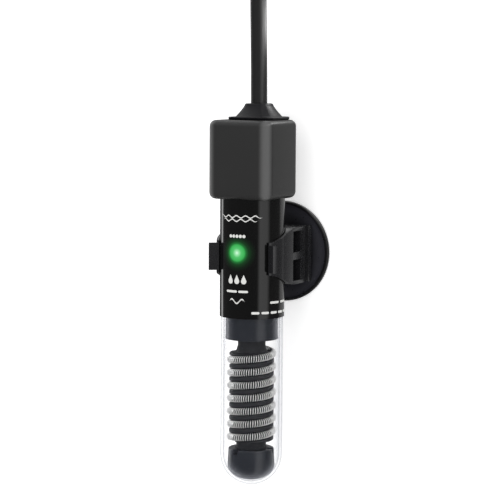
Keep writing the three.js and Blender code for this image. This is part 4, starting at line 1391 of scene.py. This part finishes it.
@dataclass
class MainsPlug:
    """A moulded flat plug with grip ribs, a ribbed strain relief and two blades, in millimetres."""

    cord_radius: float
    relief: float = 15.0
    ribs: int = 5
    corner: float = 3.4
    waist: float = 1.5
    grip_rib: float = 0.32
    grip_ribs: int = 5
    blade_rounding: float = 0.3

    def __post_init__(self) -> None:
        """Reads the plug's place from the frame."""
        self.middle, self.half = box_mm("plug_body")
        self.face = self.middle.y - self.half.y
        self.back = self.middle.y + self.half.y - self.relief

    def rib_tree(self) -> Tree:
        """Builds the node tree that stacks rings of falling size along a line."""
        reals = ("Spacing", "First Radius", "Last Scale", "Section")
        tree, given = new_tree("relief_ribs", [
            ("Count", "NodeSocketInt"), *((name, "NodeSocketFloat") for name in reals),
            ("Start", "NodeSocketVector"), ("Material", "NodeSocketMaterial")])
        value = given.outputs
        step = add_node(tree, "ShaderNodeCombineXYZ", {"Y": value["Spacing"]})
        line = add_node(tree, "GeometryNodeMeshLine", {
            "Count": value["Count"], "Start Location": value["Start"], "Offset": step.outputs[0]})
        circles = [add_node(tree, "GeometryNodeCurvePrimitiveCircle", {
            "Resolution": points, "Radius": value[name]})
            for points, name in ((48, "First Radius"), (10, "Section"))]
        ring = add_node(tree, "GeometryNodeCurveToMesh", {
            "Curve": circles[0].outputs[0], "Profile Curve": circles[1].outputs[0]})
        index = add_node(tree, "GeometryNodeInputIndex").outputs[0]
        last = maths(tree, "SUBTRACT", value["Count"], 1.0)
        placed = add_node(tree, "GeometryNodeInstanceOnPoints", {
            "Points": line.outputs[0], "Instance": ring.outputs[0], "Rotation": (math.pi / 2, 0.0, 0.0),
            "Scale": remap(tree, index, 0.0, last, 1.0, value["Last Scale"], "LINEAR")})
        close_tree(tree, placed.outputs[0], value["Material"])
        return tree

    def section(self, y: float, inset: float, waist: float = 0.0) -> Ring:
        """One cross-section of the grip: a rounded oblong, drawn in all round and further at its sides."""
        outline = rounded_oblong(self.half.x - inset - waist, self.half.z - inset, self.corner, 12)
        return [Vector((x, y, self.middle.z + z)) * MM for x, z in outline]

    def build_body(self) -> Piece:
        """Lofts the grip with hollowed sides and finger ribs, and its flat face."""
        face, back, middle = self.face, self.back, self.middle.z
        front_edge = ((2.2, 0.0), (1.0, 0.0), (0.45, 0.15), (0.1, 0.55), (0.0, 1.2))
        back_edge = ((0.15, 1.2), (0.6, 0.5), (1.4, 0.1), (2.4, 0.0))
        grip_start, grip_end = face + 6.0, back - 2.5
        steps = 60
        rings = [self.section(face + depth, inset) for inset, depth in front_edge]
        for share in (i / steps for i in range(steps + 1)):
            hollow = self.waist * math.sin(math.pi * share) ** 2
            rib = max(0.0, math.cos(2 * math.pi * self.grip_ribs * share)) * math.sin(math.pi * share)
            y = grip_start + (grip_end - grip_start) * share
            rings.append(self.section(y, 0, hollow - self.grip_rib * rib))
        rings += [self.section(back - depth, inset) for inset, depth in back_edge]
        ends = [[Vector((0, y, middle)) * MM] * len(rings[0]) for y in (face, back)]
        tip, hole = back + self.relief, self.cord_radius + 0.02
        profile = fillet([(CLOSED, back - 1.0), (3.9, back - 1.0), (self.cord_radius + 0.5, tip), (hole, tip),
                          (hole, tip - 4)], 0.25)
        stem = [[Vector((r * math.sin(a), y, middle + r * math.cos(a))) * MM for a in circle(64)]
                for r, y in (*profile, (CLOSED, tip - 4))]
        return new_piece("plug_moulding", *joined([loft([ends[0], *rings, ends[1]]), loft(stem)]), 50)

    def build_ribs(self) -> Piece:
        """Grows the strain relief's ribs."""
        return grown("relief_ribs", self.rib_tree(), {
            "Count": self.ribs, "Spacing": 2.6 * MM, "First Radius": 3.95 * MM, "Last Scale": 0.86,
            "Section": 0.8 * MM, "Start": Vector((0, self.back + 1.4, self.middle.z)) * MM,
            "Material": PLUG_PVC.material()}, 60)

    def build(self) -> list[Piece]:
        """Builds and dresses the plug.

        Returns:
            Its pieces.
        """
        body = finish_piece(self.build_body(), PLUG_PVC, "plug_plastic", "heater", "plug_body")
        ribs = finish_piece(self.build_ribs(), PLUG_PVC, "plug_plastic", "heater")
        blades = []
        for side in ("left", "right"):
            node = "plug_blade_" + side
            blade = softened(node, "blade_" + side, self.blade_rounding)
            blades.append(finish_piece(blade, BLADE_BRASS, "plug_brass", "heater", node))
        return [body, ribs, *blades]


# ------------------------------------------------------------------ studio
class Surround(Enum):
    """What polished pieces mirror: an angle round the tube from its front, in degrees, and a brightness."""

    FRONT = (28, 0.10)
    RIGHT_BOX_START = (46, 0.12)
    RIGHT_BOX = (56, 1.2)
    RIGHT_BOX_END = (82, 1.1)
    RIGHT_GAP = (94, 0.12)
    FLOOR_RIGHT = (138, 0.12)
    FLOOR = (150, 0.62)
    FLOOR_BEHIND = (174, 0.5)
    FLOOR_FAR = (194, 0.3)
    FLOOR_LEFT = (214, 0.2)
    LEFT_GAP = (226, 0.12)
    LEFT_STRIP_START = (245, 0.15)
    LEFT_STRIP = (249, 2.1)
    LEFT_STRIP_END = (257, 2.1)
    LEFT_END = (262, 0.12)


@dataclass
class Studio:
    """Floor, soft light and the camera: angles in degrees, aims in millimetres, other lengths in metres."""

    view_right: float = 28.0
    view_lift: float = 5.4
    roll: float = 0.34
    distance: float = 0.7
    frame_width: float = 0.176
    aim_y: float = 83.5
    aim_right: float = -0.81
    fill: float = 0.62
    top_box: float = 1.05
    backdrop: float = 0.97
    floor_glow: float = 0.4
    key_size: float = 1.4
    key_height: float = 0.9
    key_power: float = 7.5
    cord_strip_angle: float = 122.0
    cord_strip_power: float = 0.034
    cord_strip_distance: float = 0.05
    cord_strip_along: float = 0.03
    cord_strip_size: Point2 = (0.014, 0.09)

    def build_camera(self) -> None:
        """Places the camera on the heater's front, turned to its right and raised towards the cord."""
        side, lift = math.radians(self.view_right), math.radians(self.view_lift)
        towards = Vector((math.sin(side) * math.cos(lift), math.sin(lift), math.cos(side) * math.cos(lift)))
        right = Vector((0, 1, 0)).cross(towards).normalized()
        aim = TUBE.place(0, self.aim_y, 0) + right * self.aim_right * MM
        right.rotate(Quaternion(towards, math.radians(self.roll)))
        data = bpy.data.cameras.new("camera")
        data.sensor_width = 36.0
        data.lens = data.sensor_width * self.distance / self.frame_width
        data.clip_start, data.clip_end = 0.01, 20.0
        camera = linked("camera", data)
        turn = Matrix((right, towards.cross(right), towards)).transposed().to_4x4()
        camera.matrix_world = Matrix.Translation(aim + towards * self.distance) @ turn
        bpy.context.scene.camera = camera

    def build_floor(self) -> None:
        """Lays a plain pale floor under the heater; polished pieces mirror the surround instead of it."""
        size, drop = 4.0, 0.0002
        corners = [Vector((x * size, y * size, -drop)) for x, y in ((-1, -1), (1, -1), (1, 1), (-1, 1))]
        floor = new_piece("studio_floor", corners, [(0, 1, 2, 3)])
        material = bpy.data.materials.new("floor_matt_paint")
        material.use_nodes = True
        shader = material.node_tree.nodes["Principled BSDF"]
        for name, level in {"Base Color": srgb("#fbfbfb"), "Roughness": 1.0, "Specular IOR Level": 0.0,
                            "Emission Color": srgb("#ffffff"), "Emission Strength": self.floor_glow}.items():
            shader.inputs[name].default_value = level
        floor.data.materials.append(material)
        floor.visible_glossy = False

    def build_surround(self) -> None:
        """Makes the world: plain fill light, and soft boxes along the tube that only gloss can see."""
        scene = bpy.context.scene
        scene.world = scene.world or bpy.data.worlds.new("studio")
        scene.world.use_nodes = True
        tree = scene.world.node_tree
        tree.nodes.clear()
        direction = add_node(tree, "ShaderNodeTexCoord").outputs["Generated"]
        axes = add_node(tree, "ShaderNodeSeparateXYZ", {"Vector": direction}).outputs
        angle = maths(tree, "ARCTAN2", axes["X"], axes["Z"])
        ramp = add_node(tree, "ShaderNodeFloatCurve", {
            "Value": remap(tree, angle, -math.pi, math.pi, curve="LINEAR")})
        curve = ramp.mapping.curves[0]
        ramp.mapping.extend = "HORIZONTAL"
        strongest = max(spot.value[1] for spot in Surround)
        behind = Surround.FLOOR.value[1] / strongest
        curve.points[0].location, curve.points[-1].location = (0.0, behind), (1.0, behind)
        for place, bright in sorted(((spot.value[0] + 180) % 360 / 360, spot.value[1]) for spot in Surround):
            curve.points.new(place, bright / strongest)
        for point in curve.points:
            point.handle_type = "VECTOR"
        ramp.mapping.update()
        top = remap(tree, axes["Y"], 0.3, 0.6, 0.0, self.top_box)
        boxes = add_node(tree, "ShaderNodeMath", {0: ramp.outputs[0], 1: strongest, 2: top},
                         operation="MULTIPLY_ADD")
        ray = add_node(tree, "ShaderNodeLightPath").outputs
        fill = add_node(tree, "ShaderNodeMix", {0: ray["Is Glossy Ray"], 2: self.fill, 3: boxes.outputs[0]},
                        data_type="FLOAT")
        seen = add_node(tree, "ShaderNodeMix", {0: ray["Is Camera Ray"], 2: fill.outputs[0],
                                                3: self.backdrop}, data_type="FLOAT")
        sky = add_node(tree, "ShaderNodeBackground", {"Color": srgb("#ffffff"), "Strength": seen.outputs[0]})
        add_node(tree, "ShaderNodeOutputWorld", {"Surface": sky.outputs[0]})

    def soft_box(self, name: str, place: Vector, size: Point2, power: float) -> Piece:
        """Hangs a soft box, which faces straight down until it is turned.

        Args:
            name: The light's name.
            place: Its middle, in metres.
            size: Its two sides, in metres.
            power: Its power in watts.

        Returns:
            The light.
        """
        data = bpy.data.lights.new(name, "AREA")
        data.shape = "RECTANGLE"
        data.size, data.size_y = size
        data.energy = power
        light = linked(name, data)
        light.location = place
        return light

    def build_key(self) -> None:
        """Hangs one large soft box overhead, which lights without showing in polished pieces."""
        place = TUBE.place(0, self.aim_y, 0) + Vector((0, 0, self.key_height))
        key = self.soft_box("key_softbox", place, (self.key_size, self.key_size), self.key_power)
        key.visible_glossy = False

    def build_cord_strip(self) -> None:
        """Stands a slim soft box beside the cord, which only shows as the long light on its side."""
        turn = math.radians(self.cord_strip_angle)
        away = Vector((math.sin(turn), 0, math.cos(turn)))
        x, _, z = LEAD_ROUTE[0]
        start = Vector((x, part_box("power_cord")[0].y + self.cord_strip_along, z))
        strip = self.soft_box("cord_strip", start + away * self.cord_strip_distance, self.cord_strip_size,
                              self.cord_strip_power)
        strip.rotation_mode = "QUATERNION"
        strip.rotation_quaternion = away.to_track_quat("Z", "Y")
        strip.visible_camera = False
        strip.visible_diffuse = False

    def build(self) -> None:
        """Builds the studio."""
        bpy.context.scene.view_settings.view_transform = "Standard"
        self.build_camera()
        self.build_floor()
        self.build_surround()
        self.build_key()
        self.build_cord_strip()


def main() -> None:
    """Builds the studio, the cord and every sub-assembly."""
    logging.basicConfig(level=logging.INFO, format="%(name)s %(message)s")
    Studio().build()
    MainsCord().build()
    GlassVessel().build()
    LabelPrint().build()
    HeadCap().build()
    HeatingElement().build()
    Electronics().build()
    SuctionClip().build()


if __name__ == "__main__":
    main()
